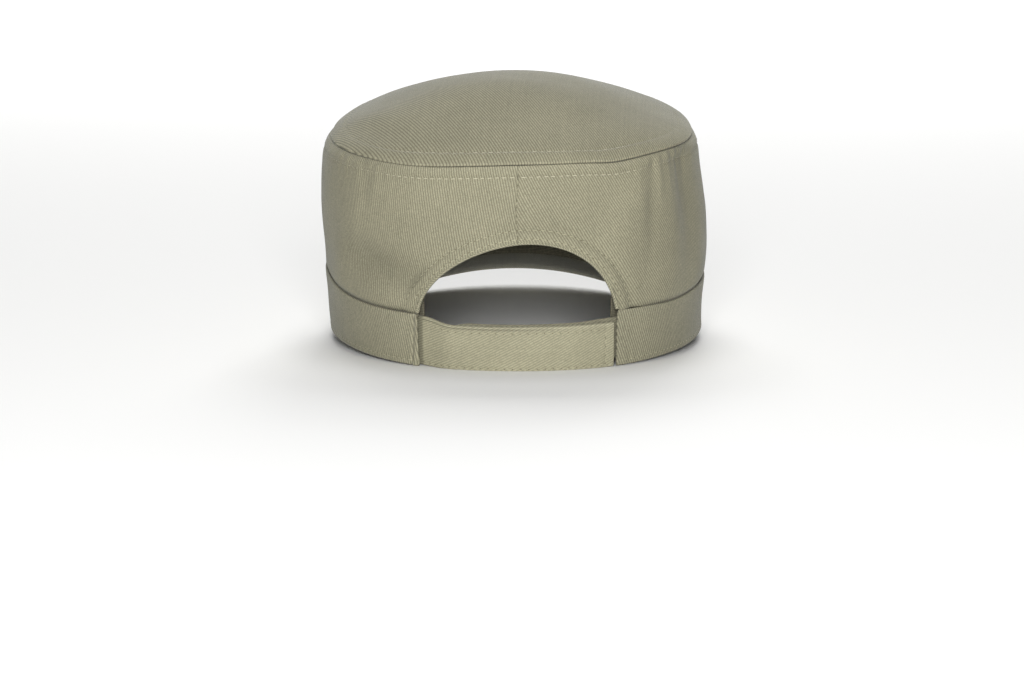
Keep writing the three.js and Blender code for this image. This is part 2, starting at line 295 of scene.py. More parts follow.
def archRise(angle):
    share = np.minimum(1, (np.pi - np.abs(angle)) / math.radians(frontArch["halfAngle"]))
    return frontArch["rise"] * np.cos(share * np.pi / 2) ** 2


def skin(angle, level):
    x, y = planPoint(angle, level)
    return np.stack([x, y, level * seamHeight(angle) + archRise(angle) * (1 - level ** 2)], axis=-1)


def underSkin(angle, height, depth):
    level = height / seamHeight(angle)
    low = np.minimum(level, 1 - slopeStep)
    along = skin(angle + slopeStep, low) - skin(angle - slopeStep, low)
    up = skin(angle, low + slopeStep) - skin(angle, low)
    inwards = np.cross(along, up)
    inwards = inwards / np.linalg.norm(inwards, axis=-1, keepdims=True)
    return skin(angle, level) + inwards * np.expand_dims(depth + 0 * angle, -1)


def angleAt(x, height):    # where the back of the cloth passes an x
    x = x + 0 * height

    def isShort(angle):
        return planPoint(angle, height / seamHeight(angle))[0] < x

    return halve(np.shape(x), (-np.pi / 2, np.pi / 2), halvings["angle"], isShort)


def roundLength(angle):    # length round the cloth from the middle of the back, halfway up the wall
    turns = np.linspace(-np.pi, np.pi, 721)
    x, y = planPoint(turns, 0.5)
    lengths = np.concatenate([[0], np.cumsum(np.hypot(np.diff(x), np.diff(y)))])
    return np.interp(angle, turns, lengths - lengths[len(turns) // 2])


def bandSeam(angle):
    left = np.sin(angle) > 0
    end = np.where(left, bandHeight["leftEnd"], bandHeight["rightEnd"])
    end = np.where(np.cos(angle) > 0, end, bandHeight["front"])
    side = np.where(left, bandHeight["leftSide"], bandHeight["rightSide"])
    x, y = planPoint(angle, bandLevel)
    dip = bandDip["depth"] * line(x, bandDip["x"], bandDip["wide"]) * ease(bandDip["from"], bandDip["to"], y)
    return mix(end, side, np.abs(np.sin(angle)) ** bandHeight["power"]) - dip


def halfOf(side):
    return opening["left"] if side > 0 else opening["right"]


def archPoint(turn, outwards):    # turn is positive on the left, 0 at the apex, 90 degrees at the foot
    x = np.zeros(np.shape(turn))
    height = np.zeros(np.shape(turn))
    for side in (1, -1):
        half = halfOf(side)
        own = (turn >= 0) == (side > 0)
        across = np.sin(np.abs(turn)) ** (2 / half["fullness"])
        up = np.maximum(0, np.cos(turn)) ** (2 / half["fullness"])
        rise = opening["apexHeight"] - half["footHeight"] + outwards
        x = np.where(own, opening["apexX"] + side * (half["reach"] + outwards) * across, x)
        height = np.where(own, half["footHeight"] + rise * up, height)
    return x, height


def bandTurn(side, outwards):    # the turn at which an edge of the arch comes down to the band
    half = halfOf(side)
    rise = opening["apexHeight"] - half["footHeight"] + outwards
    end = bandHeight["leftEnd"] if side > 0 else bandHeight["rightEnd"]
    return side * math.acos(((end - half["footHeight"]) / rise) ** (half["fullness"] / 2))


def seamTurn(outwards):    # the turn at which it passes the centre-back seam
    half = opening["left"]
    across = (backSeamX - opening["apexX"]) / (half["reach"] + outwards)
    return math.asin(across ** (half["fullness"] / 2))


def pastArch(x, height):    # how far a point lies outside the arch's edge
    left = x > opening["apexX"]
    sizes = ("reach", "footHeight", "fullness")
    reach, foot, power = (np.where(left, opening["left"][size], opening["right"][size]) for size in sizes)

    def isOutside(past):
        across = np.abs(x - opening["apexX"]) / (reach + past)
        up = np.maximum(0, height - foot) / (opening["apexHeight"] - foot + past)
        return across ** power + up ** power > 1

    return halve(np.shape(x), opening["searched"], halvings["distance"], isOutside)


def edgeX(side):
    return opening["apexX"] + side * halfOf(side)["reach"]


def roundFront(share, height, outwards):
    start = angleAt(edgeX(1) + outwards, height)
    end = angleAt(edgeX(-1) - outwards, height) + 2 * np.pi
    turn = mix(start, end, share)
    return np.where(turn > np.pi, turn - 2 * np.pi, turn)


def atRest(points):    # leans the cap back and presses flat what would go into the floor
    pitch = math.radians(stand["pitch"])
    drop = rim["back"] * math.sin(pitch) - stand["backGives"]
    x, y, z = np.moveaxis(points, -1, 0)
    return mm * np.stack([
        x - stand["middleX"],
        y * math.cos(pitch) + z * math.sin(pitch) - stand["middleY"],
        np.maximum(0, z * math.cos(pitch) - y * math.sin(pitch) + drop),
    ], axis=-1)


def waves(place, seed, shortest, longest, count=7):    # gentle unevenness, about -1 to 1, lengths in mm
    dice = np.random.default_rng(seed)
    total = 0
    for k in range(count):
        length = dice.uniform(shortest, longest)
        turn = dice.uniform(0, np.pi)
        phase = dice.uniform(0, 2 * np.pi)
        along = place[0] * math.cos(turn) + place[1] * math.sin(turn)
        total = total + np.sin(2 * np.pi * along / length + phase)
    return total / count ** 0.5 / 1.5


# Making of cloth pieces. Each starts as a flat grid that is laid on the form. For the grid's shares u and v,
# place gives the points in mm, the flat cloth's x and y, how worn a point is and its painted shade.
onePoint = 0.02    # mm under which two points are merged


def rowShares(piece, v):    # how far a row is up the form, and how far round the rolled edge
    rest = 1 - piece["rollFrom"]
    return np.minimum(v / piece["rollFrom"], 1), np.clip((v - piece["rollFrom"]) / rest, 0, 1)


def layCloth(name, columns, rows, place, ribAngle):
    bpy.ops.object.select_all(action="DESELECT")
    bpy.ops.mesh.primitive_grid_add(x_subdivisions=columns, y_subdivisions=rows, size=1)
    piece = bpy.context.object
    piece.name = name
    piece.data.name = name
    spots = np.empty(len(piece.data.vertices) * 3)
    piece.data.vertices.foreach_get("co", spots)
    laid = place(spots[0::3] + 0.5, spots[1::3] + 0.5)
    piece.data.vertices.foreach_set("co", atRest(laid["points"]).ravel())
    for mark in ("worn", "shaded"):
        values = np.zeros(len(piece.data.vertices)) + laid.get(mark, 0)
        piece.data.attributes.new(mark, "FLOAT", "POINT").data.foreach_set("value", values)
    turn = math.radians(ribAngle)
    flatX, flatY = laid["flat"]
    acrossRibs = flatX * math.sin(turn) - flatY * math.cos(turn)
    alongRibs = flatX * math.cos(turn) + flatY * math.sin(turn)
    corners = np.empty(len(piece.data.loops), np.int32)
    piece.data.loops.foreach_get("vertex_index", corners)
    weave = piece.data.uv_layers[0]
    weave.name = "weave"
    weave.data.foreach_set("uv", (mm * np.stack([acrossRibs, alongRibs], axis=-1)[corners]).ravel())
    piece.data.update()
    return piece


def turnOutwards(piece, inside):
    total = sum((face.center - inside).dot(face.normal) * face.area for face in piece.data.polygons)
    if total < 0:
        bpy.ops.object.mode_set(mode="EDIT")
        bpy.ops.mesh.select_all(action="SELECT")
        bpy.ops.mesh.flip_normals()
        bpy.ops.object.mode_set(mode="OBJECT")


def mergeEdges(piece, closeEnds):
    bpy.ops.object.mode_set(mode="EDIT")
    bpy.ops.mesh.select_all(action="SELECT")
    bpy.ops.mesh.remove_doubles(threshold=onePoint * mm)
    if closeEnds:
        bpy.ops.mesh.fill_holes(sides=0)
        bpy.ops.mesh.select_all(action="SELECT")
        bpy.ops.mesh.normals_make_consistent(inside=False)
    bpy.ops.object.mode_set(mode="OBJECT")


def rollOver(share, radius, start, end, tail):    # a rounded edge and the allowance that runs on behind it
    arc = radius * (end - start)
    at = share * (arc + tail)
    turn = start + np.minimum(at, arc) / radius
    beyond = np.maximum(0, at - arc)
    onward = radius * (np.sin(turn) - math.sin(start)) + beyond * math.cos(end)
    inward = radius * (math.cos(start) - np.cos(turn)) + beyond * math.sin(end)
    return onward, inward, turn


def finishCloth(piece, material, thickness=None, taper=None, soften=True):
    if thickness:
        wall = piece.modifiers.new("clothThickness", "SOLIDIFY")
        wall.thickness = thickness * mm
        wall.offset = -1
        if taper:
            wall.vertex_group = taper
    if soften:
        softening = piece.modifiers.new("softEdges", "SUBSURF")
        softening.levels = 1
        softening.render_levels = 1
    for name in [modifier.name for modifier in piece.modifiers]:
        bpy.ops.object.modifier_apply(modifier=name)
    bpy.ops.object.shade_smooth()
    piece.data.materials.append(material)
    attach(piece, bodyName)
    print(piece.name, "made with", len(piece.data.polygons), "faces")
    return piece


print("form ready")

# Washed cotton twill. Each warp thread floats over three crossing threads and dives under the fourth, one
# crossing lower than its neighbour, so the dives line up in steep diagonal grooves with ribs between them.
twill = {
    "ribPitch": 1.13,          # mm from rib to rib
    "warpTurn": 27,            # degrees from the ribs to the warp
    "repeat": 4,
    "float": 0.78,             # share of the repeat in which the warp lies on top
    "bow": 0.6,                # power, the lower the longer a float stays up
    "rounding": 0.8,           # how far a thread rounds down to its neighbour
    "wander": 0.15,            # mm by which threads stray
    "wanderSize": 1.9,
    "fuzzSize": 0.55,          # mm, loose fibres that break up the ribs
    "slubLength": 7,           # mm, in which some thicker and thinner places lie
    "slubs": 6,
    "slubHeight": 0.4,         # of a thread's height
    "cloudSize": 34,           # mm, paler and darker places from washing
    "height": 0.06,            # mm
}
tape = twill | {
    "ribPitch": 0.75, "warpTurn": 45, "repeat": 2, "float": 0.6, "wander": 0.05, "wanderSize": 2,
    "fuzzSize": 0.5, "slubLength": 9, "cloudSize": 26, "height": 0.05,
}
# How strongly each pattern acts: its lowest and highest value, and what they come to
patterns = {
    "fuzz": (0.28, 0.6, 0.35, 1.1),
    "clouds": (0.3, 0.7, 0.92, 1.07),
    "threads": (0, 1, 0.96, 1.04),
    "slubs": (0.3, 0.7, 0.93, 1.07),
    "paintedShade": (0, 1, 1, 0.5),
}
clothColors = {
    "twill": {"float": "#a39f87", "dive": "#6d6a58", "worn": "#bab79f", "sheen": "#c6cbd4"},
    "strap": {"float": "#a9a58c", "dive": "#817e69", "worn": "#bcb8a0", "sheen": "#d0d0cc"},
    "sweatband": {"float": "#98937f", "dive": "#5b5848", "worn": "#a8a491", "sheen": "#c9c7ba"},
}


def strayed(material, vector, size, distance):    # a vector that wanders by a distance
    noise = addNode(material, "TexNoise", {"Vector": vector, "Scale": 1 / (size * mm), "Detail": 2})
    centred = addNode(material, "VectorMath", {
        0: noise.outputs["Color"], 1: (0.5, 0.5, 0.5),
    }, operation="SUBTRACT").outputs[0]
    scaled = addNode(material, "VectorMath", {
        0: centred, "Scale": 2 * distance * mm,
    }, operation="SCALE").outputs[0]
    return addNode(material, "VectorMath", {0: vector, 1: scaled}, operation="ADD").outputs[0]


def warpThreads(material, weave):    # how high the yarn lies, from 0 to 1, and a number for each thread
    steep = math.radians(90 - weave["warpTurn"])
    warpPitch = weave["ribPitch"] / math.sin(steep) / weave["repeat"] * mm
    crossPitch = weave["ribPitch"] / math.cos(steep) / weave["repeat"] * mm
    flat = addNode(material, "UVMap", uv_map="weave").outputs[0]
    loose = strayed(material, flat, weave["wanderSize"], weave["wander"])
    onWarp = addNode(material, "Mapping", {
        "Vector": loose, "Rotation": (0, 0, math.radians(weave["warpTurn"])),
    }).outputs[0]
    axes = addNode(material, "SeparateXYZ", {"Vector": onWarp})

    across = addNode(material, "Math", {0: axes.outputs["X"], 1: warpPitch}, operation="DIVIDE").outputs[0]
    thread = addNode(material, "Math", {0: across}, operation="FLOOR").outputs[0]
    inThread = addNode(material, "Math", {0: across}, operation="FRACT").outputs[0]
    side = addNode(material, "Math", {0: inThread, 1: 0.5}, operation="SUBTRACT").outputs[0]
    turned = addNode(material, "Math", {
        0: side, 1: weave["rounding"] * math.pi,
    }, operation="MULTIPLY").outputs[0]
    rounded = addNode(material, "Math", {0: turned}, operation="COSINE").outputs[0]

    crossed = addNode(material, "Math", {0: axes.outputs["Y"], 1: crossPitch}, operation="DIVIDE").outputs[0]
    shifted = addNode(material, "Math", {0: crossed, 1: thread}, operation="ADD").outputs[0]
    repeats = addNode(material, "Math", {0: shifted, 1: weave["repeat"]}, operation="DIVIDE").outputs[0]
    along = addNode(material, "Math", {0: repeats}, operation="FRACT").outputs[0]
    floated = addNode(material, "Math", {0: along, 1: weave["float"]}, operation="DIVIDE").outputs[0]
    onTop = addNode(material, "Math", {0: floated, 1: 1}, operation="MINIMUM").outputs[0]
    bowed = addNode(material, "Math", {0: onTop, 1: math.pi}, operation="MULTIPLY").outputs[0]
    bow = addNode(material, "Math", {0: bowed}, operation="SINE").outputs[0]
    positive = addNode(material, "Math", {0: bow, 1: 0}, operation="MAXIMUM").outputs[0]
    lifted = addNode(material, "Math", {0: positive, 1: weave["bow"]}, operation="POWER").outputs[0]
    return addNode(material, "Math", {0: lifted, 1: rounded}, operation="MULTIPLY").outputs[0], thread


def wovenCotton(name, weave, colors):
    cloth = newMaterial(name)
    height, thread = warpThreads(cloth, weave)
    place = addNode(cloth, "TexCoord").outputs["Object"]
    worn = addNode(cloth, "Attribute", attribute_name="worn").outputs["Fac"]
    # the shaded mark is painted shade in seams, creases and gaps, and darkens the colour
    shaded = addNode(cloth, "Attribute", attribute_name="shaded").outputs["Fac"]
    threadTone = addNode(cloth, "TexWhiteNoise", {"W": thread}, noise_dimensions="1D").outputs["Value"]
    slubs = addNode(cloth, "TexNoise", {
        "Vector": place, "Scale": weave["slubs"] / (weave["slubLength"] * mm), "Detail": 3,
    }).outputs[0]
    fuzz = addNode(cloth, "TexNoise", {
        "Vector": place, "Scale": 1 / (weave["fuzzSize"] * mm), "Detail": 2, "Roughness": 0.7,
    }).outputs[0]
    clouds = addNode(cloth, "TexNoise", {
        "Vector": place, "Scale": 1 / (weave["cloudSize"] * mm), "Detail": 5, "Roughness": 0.62,
    }).outputs[0]

    # each pattern in its own strength
    strengths = {}
    sources = {"fuzz": fuzz, "clouds": clouds, "threads": threadTone, "slubs": slubs, "paintedShade": shaded}
    for pattern, value in sources.items():
        low, high, newLow, newHigh = patterns[pattern]
        strengths[pattern] = addNode(cloth, "MapRange", {
            "Value": value, "From Min": low, "From Max": high, "To Min": newLow, "To Max": newHigh,
        }).outputs[0]
    height = addNode(cloth, "Math", {0: height, 1: strengths["fuzz"]}, operation="MULTIPLY").outputs[0]
    tone = strengths["clouds"]
    for pattern in ("threads", "slubs", "paintedShade"):
        tone = addNode(cloth, "Math", {0: tone, 1: strengths[pattern]}, operation="MULTIPLY").outputs[0]

    yarn = addNode(cloth, "MixRGB", {
        "Fac": height, "Color1": toLinear(colors["dive"]), "Color2": toLinear(colors["float"]),
    }, use_clamp=True).outputs[0]
    wornSlubs = addNode(cloth, "Math", {0: slubs, 1: height}, operation="MULTIPLY").outputs[0]
    wear = addNode(cloth, "Math", {0: worn, 1: wornSlubs}, operation="MULTIPLY").outputs[0]
    rubbed = addNode(cloth, "MixRGB", {
        "Fac": wear, "Color1": yarn, "Color2": toLinear(colors["worn"]),
    }, use_clamp=True).outputs[0]
    color = addNode(cloth, "HueSaturation", {"Value": tone, "Color": rubbed}).outputs[0]

    thicker = addNode(cloth, "Math", {0: slubs, 1: weave["slubHeight"]}, operation="MULTIPLY").outputs[0]
    relief = addNode(cloth, "Math", {0: height, 1: thicker}, operation="ADD").outputs[0]
    bump = addNode(cloth, "Bump", {"Height": relief, "Strength": 1, "Distance": weave["height"] * mm})
    cotton = addNode(cloth, "BsdfPrincipled", {
        "Base Color": color,
        "Normal": bump.outputs[0],
        "Roughness": 0.9,
        "Specular IOR Level": 0.25,
        "Sheen Weight": 0.17,
        "Sheen Roughness": 0.3,
        "Sheen Tint": toLinear(colors["sheen"]),
    })
    return finishMaterial(cloth, cotton)


# Matt, with fine diagonal ribs, a soft bloom of loose fibres at grazing angles and paler rubbed edges.
# Painted shade darkens it in seams, creases and gaps.
washedTwill = wovenCotton("washedCottonTwill", twill, clothColors["twill"])
strapTwill = wovenCotton("foldedCottonTwill", twill | {"ribPitch": 1.02}, clothColors["strap"])
# Closer and flatter weave than the twill's, its colour painted darker as shade because it lies inside
plainTape = wovenCotton("plainCottonTape", tape, clothColors["sweatband"])

# Spun sewing thread is a little smoother than the cloth, so it catches a soft light. The top seam's is paler,
# the rest is dyed to match. Dark discs at the needle's holes are painted shadow of the cloth drawn into them.
# The dark polyester hook tape has a dull pile of fine loops. Sizes and heights are in mm.
fibres = {
    "pale": {
        "name": "paleSewingThread", "pattern": "TexNoise", "size": 0.5, "colors": ("#a5a18b", "#c3bfa8"),
        "bump": 0.6, "height": 0.05, "surface": {"Roughness": 0.6, "Sheen Weight": 0.2},
    },
    "matching": {
        "name": "matchingSewingThread", "pattern": "TexNoise", "size": 0.5, "colors": ("#8c8970", "#aca88b"),
        "bump": 0.6, "height": 0.05, "surface": {"Roughness": 0.6, "Sheen Weight": 0.2},
    },
    "holes": {
        "name": "paintedNeedleHoleShadow", "pattern": "TexNoise", "size": 0.4, "colors": ("#565240", "#76715b"),
        "bump": 0, "height": 0, "surface": {"Roughness": 1, "Specular IOR Level": 0.1},
    },
    "hooks": {
        "name": "hookAndLoopTape", "pattern": "TexVoronoi", "size": 0.5, "colors": ("#55534a", "#3a3932"),
        "bump": 0.7, "height": 0.15, "surface": {"Roughness": 0.7},
    },
}


def plainFibre(fibre):
    material = newMaterial(fibre["name"])
    place = addNode(material, "TexCoord").outputs["Object"]
    grain = addNode(material, fibre["pattern"], {
        "Vector": place, "Scale": 1 / (fibre["size"] * mm),
    }).outputs[0]
    first, second = [toLinear(color) for color in fibre["colors"]]
    color = addNode(material, "MixRGB", {"Fac": grain, "Color1": first, "Color2": second})
    surface = fibre["surface"] | {"Base Color": color.outputs[0]}
    if fibre["bump"]:
        surface["Normal"] = addNode(material, "Bump", {
            "Height": grain, "Strength": fibre["bump"], "Distance": fibre["height"] * mm,
        }).outputs[0]
    return finishMaterial(material, addNode(material, "BsdfPrincipled", surface))


threadMaterials = {kind: plainFibre(fibres[kind]) for kind in ("pale", "matching")}
needleHoleShadows = plainFibre(fibres["holes"])
hookPile = plainFibre(fibres["hooks"])
print("materials ready")

hollow = 40    # mm above the rim: the middle of the head's hollow, from which every wall faces outwards
insideCap = type(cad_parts["band"].location)(atRest(np.array([0.0, topSeam["centreY"], hollow])))

# Top panel: a soft dome whose edge rolls over into the seam
crown = {
    "spokes": 300,
    "rows": 92,
    "rollFrom": 0.86,          # share of the rows that lie on the dome
    "roll": 0.7,
    "rollStart": 22,
    "rollEnd": 175,
    "tail": 2.0,               # mm of allowance inside the seam
    "thickness": 0.9,
    "ribAngle": 114,
    "closer": 0.6,             # how much closer the rows lie towards the seam
    "sewnAt": 6.5,             # mm from the seam to the stitches
    "uneven": 0.35,
    "unevenFrom": 6,           # mm from the seam
    "unevenTo": 40,
    "waves": {"seed": 3, "shortest": 40, "longest": 90},
    "frontFade": 0.12,         # radians beside the centre front without gathers
    "ridgeAtSide": 0.45,       # share of the sewn ridge that is left away from the back
    "ridgeFrom": 38,           # degrees
    "ridgeTo": 62,
    "sagPower": 4,             # the higher, the closer to the seam the panel sags with it
    "rollPaintedShade": (1.8, 2.7),    # radians round the rolled edge over which painted shade fades in
    "wear": (0.5, 0.9, 0.5),   # a streak: how strong, at which radians, how wide
}
# A sewn seam allowance lifts the cloth over it, and the stitches along its edge pull the cloth down
sewnEdge = {
    "lift": 0.45, "riseFrom": 0.2, "riseTo": 2.4, "fallFrom": -1.8, "fallTo": 0.2, "pull": 0.3, "wide": 0.7,
}
# Gathers beside a row of stitches. The turns and lengths of two slow waves make their spacing uneven.
gather = {"pitch": 6.2, "depth": 0.09, "reach": 3.2, "strays": ((1.5, 11), (0.8, 4.3))}
# Painted shade in the top seam: strongest at the back and weaker at the sides, changing between these degrees
seamPaintedShade = {"back": 0.7, "side": 0.15, "from": 30, "to": 60}
# Shallow hollows in the top panel
hollows = [
    {"x": -44, "y": 40, "long": 46, "wide": 13, "turn": 62, "depth": 0.9},
    {"x": 47, "y": 30, "long": 50, "wide": 15, "turn": 118, "depth": 0.8},
    {"x": 6, "y": -30, "long": 60, "wide": 18, "turn": 8, "depth": 0.7},
    {"x": 60, "y": 52, "long": 28, "wide": 9, "turn": 121, "depth": 2.0},
]


def domeHeight(ring, x):
    lean = 1 + crownHeight["domeLean"] * x / wallWidths[0]["left"]
    return crownHeight["dome"] * (1 - ring ** 2) * lean


def sewnRidge(inset, sewnAt):
    rise = ease(sewnEdge["riseFrom"], sewnEdge["riseTo"], inset)
    fall = ease(sewnAt + sewnEdge["fallFrom"], sewnAt + sewnEdge["fallTo"], inset)
    return sewnEdge["lift"] * (rise - fall) - sewnEdge["pull"] * line(inset, sewnAt, sewnEdge["wide"])


def gathers(length, fromRow, pitch=gather["pitch"]):
    stray = sum(turn * np.sin(length / slow) for turn, slow in gather["strays"])
    return gather["depth"] * np.sin(2 * np.pi * length / pitch + stray) * line(fromRow, 0, gather["reach"])


def toSeam(angle):    # from the top panel's middle to its seam: x, y and length
    x, y = planPoint(angle, 1.0)
    y = y - topSeam["centreY"]
    return x, y, np.hypot(x, y)


def crownSurface(angle, ring):
    seamX, seamY, reach = toSeam(angle)
    x = seamX * ring
    y = topSeam["centreY"] + seamY * ring
    inset = (1 - ring) * reach
    drawn = gathers(angle * reach, inset - crown["sewnAt"])
    drawn = drawn * ease(0, crown["frontFade"], np.pi - np.abs(angle))
    fromBack = np.degrees(np.abs(angle))
    ridge = mix(1, crown["ridgeAtSide"], ease(crown["ridgeFrom"], crown["ridgeTo"], fromBack))
    relief = ridge * sewnRidge(inset, crown["sewnAt"]) + drawn
    soft = crown["uneven"] * ease(crown["unevenFrom"], crown["unevenTo"], inset)
    relief = relief + soft * waves((x, y), **crown["waves"]) - dents(hollows, x, y)
    lift = mix(crownHeight["middleLift"], crownHeight["edgeLift"], ease(crownHeight["edgeFrom"], 1, ring))
    sag = seamSag(angle) * ring ** crown["sagPower"]
    return np.stack([x, y, seamPlane(x, y) - sag + domeHeight(ring, x) + lift + relief], axis=-1)


# how strong the painted shade in the top seam is at a place round the cap
def paintedSeamShade(angle):
    fromBack = np.degrees(np.abs(angle))
    return mix(seamPaintedShade["back"], seamPaintedShade["side"], ease(seamPaintedShade["from"], seamPaintedShade["to"], fromBack))


def placeCrown(u, v):
    angle = 2 * np.pi * u - np.pi
    seamX, seamY, reach = toSeam(angle)
    start = math.radians(crown["rollStart"])
    end = math.radians(crown["rollEnd"])
    t, rolled = rowShares(crown, v)
    out = (1 + crown["closer"]) * t - crown["closer"] * t ** 2
    ring = (1 - crown["roll"] * (1 - math.sin(start)) / reach) * out
    outwards, down, turn = rollOver(rolled, crown["roll"], start, end, crown["tail"])
    points = crownSurface(angle, ring)
    points[:, 0] += outwards * seamX / reach
    points[:, 1] += outwards * seamY / reach
    points[:, 2] -= down
    return {
        "points": points,
        "flat": (-points[:, 0], -points[:, 1]),
        "worn": streak(turn, *crown["wear"]) * (rolled > 0),
        # painted shade in the top seam's groove
        "shaded": paintedSeamShade(angle) * ease(*crown["rollPaintedShade"], turn),
    }


topPanel = layCloth("crownTopCloth", crown["spokes"], crown["rows"], placeCrown, crown["ribAngle"])
mergeEdges(topPanel, closeEnds=False)
turnOutwards(topPanel, insideCap)
finishCloth(topPanel, washedTwill, crown["thickness"], soften=False)
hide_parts("crown_top")

# Side wall: two panels from the centre-back seam, over the arch and round to the centre front
wall = {
    "columns": 330,
    "rows": 96,
    "fan": 40,                 # degrees at the top that the columns over the arch spread to
    "rollFrom": 0.9,
    "roll": 0.5,
    "tail": 2.0,
    "seamDrop": -0.35,         # mm from the top seam's plane down to the wall's rolled edge
    "thickness": 0.9,
    "startsAt": 1.1,           # mm from the arch's edge, under its roll
    "sewnBelowTop": 5.0,
    "sewnPastArch": 6.3,
    "innerRowPastArch": 2.6,
    "ribAngle": {"left": 104, "right": 121},
    "uneven": 0.6,
    "waves": {"seed": 11, "shortest": 28, "longest": 90},
    "closerColumns": 0.5,      # how much closer the grid lies at its ends
    "closerRows": 0.6,
    "archSteps": 200,
    "bandSteps": 240,
    "tuckedDepth": 0.8,        # mm by which the lower edge runs in under the band
    "tuckedHeight": 2.4,
    # painted shade in the crease over the band: how strong, where and how wide
    "tuckedPaintedShade": (0.9, 0, 0.9),
    "foldPaintedShade": 0.13,          # painted shade in the folds, for each mm of a fold's depth
    "rollPaintedShade": (0.5, 1.4),    # painted shade in the top seam, over these radians round the rolled upper edge
    "wear": (0.4, 0.3, 1.2),   # a streak: how strong, how far under the rolled edge, how wide
    "puckersFrom": 1.6,        # mm under the seam
    "puckerStrays": (1.3, 9),
    "rowStarts": {"past": 1, "height": 80},    # mm beside the back seam
    "rowStops": 0.02,          # radians before the centre front
}
# Hem over the arch: a step at its stitches, and a valley outside them that is deeper on the right
hem = {
    "proud": 0.4, "step": 1.1, "pullLeft": 0.5, "pullRight": 1.0, "change": 15, "valley": (0.7, 2.3),
    "gathersPastArch": 4.3, "gatherPitch": 4.6,
}
# Centre-back seam: a sewn line that strays a little from upright, with a soft ridge on both sides and a thin
# line of painted shade along it. Its row of stitches runs from a little over the arch to a little under the
# top seam.
backSeam = {
    "depth": 0.14, "wide": 1.1, "ridge": (0.12, 2.4, 1.6), "gathersAt": 1.5, "gatherPitch": 5.2,
    "strays": 0.4, "straySize": 5, "strayStart": 0.6, "dark": (0.12, 0, 0.5), "rowFrom": 3, "rowTo": 5,
}
# Where the unevenness and the folds fade out, in mm from the top seam, from the band and past the arch
wallFades = {
    "uneven": {"top": (0, 14), "band": (-4, 8)},
    "folds": {"top": (0, 5), "band": (0, 9), "arch": (5, 10)},
}
# The fold over the walls' lower edge flattens out towards the band's right end
rightEnd = {"left": 0.2, "from": 2, "to": 24}
# Small upright puckers under the top seam: where they are, how deep and how far down they reach
puckers = [
    {"angle": -55, "spread": 13, "depth": 0.38, "reach": 13, "spacing": 6.4},
    {"angle": -30, "spread": 14, "depth": 0.1, "reach": 8, "spacing": 6.1},
    {"angle": 52, "spread": 20, "depth": 0.22, "reach": 10, "spacing": 6.8},
    {"angle": 150, "spread": 40, "depth": 0.14, "reach": 9, "spacing": 7.3},
    {"angle": -140, "spread": 35, "depth": 0.16, "reach": 9, "spacing": 6.9},
]


# Soft folds of the side wall, seen from behind. Laid on the wall, x becomes a length round the cap.
wallFolds = [
    {"x": 64, "y": 80, "long": 15, "wide": 3.2, "turn": 90, "depth": 0.8},
    {"x": 57, "y": 42, "long": 26, "wide": 7.5, "turn": 12, "depth": 2.7},
    {"x": -58, "y": 74, "long": 26, "wide": 4, "turn": 99, "depth": 1.1},
    {"x": -64.5, "y": 82, "long": 9, "wide": 2.6, "turn": 94, "depth": 0.4},
    {"x": -72.5, "y": 80, "long": 32, "wide": 10, "turn": 94, "depth": 3.2},
    {"x": -36, "y": 66, "long": 22, "wide": 6, "turn": 140, "depth": 0.5},
]
for fold in wallFolds:
    fold["x"] = roundLength(angleAt(np.array([fold["x"]]), np.array([fold["y"]])))[0]


def seamDepth(angle):
    x, y = planPoint(angle, bandLevel)
    flattened = mix(rightEnd["left"], 1, ease(rightEnd["from"], rightEnd["to"], edgeX(-1) - x))
    return np.where((y > 0) & (x < 0), flattened, 1)


def wallRelief(angle, height):
    level = height / seamHeight(angle)
    x, y = planPoint(angle, level)
    atBack = y > rim["centreY"]
    fromTop = seamHeight(angle) - wall["seamDrop"] - height
    fromBand = height - bandSeam(angle)
    fromArch = np.where(atBack, pastArch(x, height), farAway)
    fromHem = fromArch - wall["sewnPastArch"]
    fromSeam = np.where(atBack, np.abs(x - backSeamX), farAway)
    length = roundLength(angle)
    relief = sewnRidge(fromTop, wall["sewnBelowTop"]) + gathers(length, fromTop - wall["sewnBelowTop"])
    hemPull = mix(hem["pullLeft"], hem["pullRight"], ease(hem["change"], -hem["change"], x))
    relief = relief + hem["proud"] * ease(hem["step"], -hem["step"], fromHem)
    relief = relief - streak(fromHem, hemPull, *hem["valley"])
    relief = relief + gathers(length + height, fromArch - hem["gathersPastArch"], hem["gatherPitch"])
    relief = relief - wall["tuckedDepth"] * ease(wall["tuckedHeight"], 0, fromBand) * seamDepth(angle)
    relief = relief - backSeam["depth"] * ease(backSeam["wide"], 0, fromSeam)
    relief = relief + streak(fromSeam, *backSeam["ridge"])
    relief = relief + gathers(height, fromSeam - backSeam["gathersAt"], backSeam["gatherPitch"])
    for pucker in puckers:
        spread = line(np.degrees(angle), pucker["angle"], pucker["spread"])
        fade = ease(0, wall["puckersFrom"], fromTop) * line(fromTop, 0, pucker["reach"])
        turn, slow = wall["puckerStrays"]
        ripple = np.sin(2 * np.pi * length / pucker["spacing"] + turn * np.sin(length / slow))
        relief = relief + pucker["depth"] * spread * fade * ripple
    edges = {"top": fromTop, "band": fromBand, "arch": fromArch}
    soft = math.prod(ease(*span, edges[edge]) for edge, span in wallFades["uneven"].items())
    deep = math.prod(ease(*span, edges[edge]) for edge, span in wallFades["folds"].items())
    relief = relief - deep * dents(wallFolds, length, height)
    return relief + wall["uneven"] * soft * waves((length, height), **wall["waves"])


def seamWander(points, height):
    atSeam = line(points[:, 0], backSeamX, backSeam["straySize"]) * (points[:, 1] > 0)
    return backSeam["strays"] * np.sin(height / backSeam["straySize"] + backSeam["strayStart"]) * atSeam


def wallSurface(angle, height):
    points = underSkin(angle, height, -wallRelief(angle, height))
    points[:, 0] += seamWander(points, height)
    return points


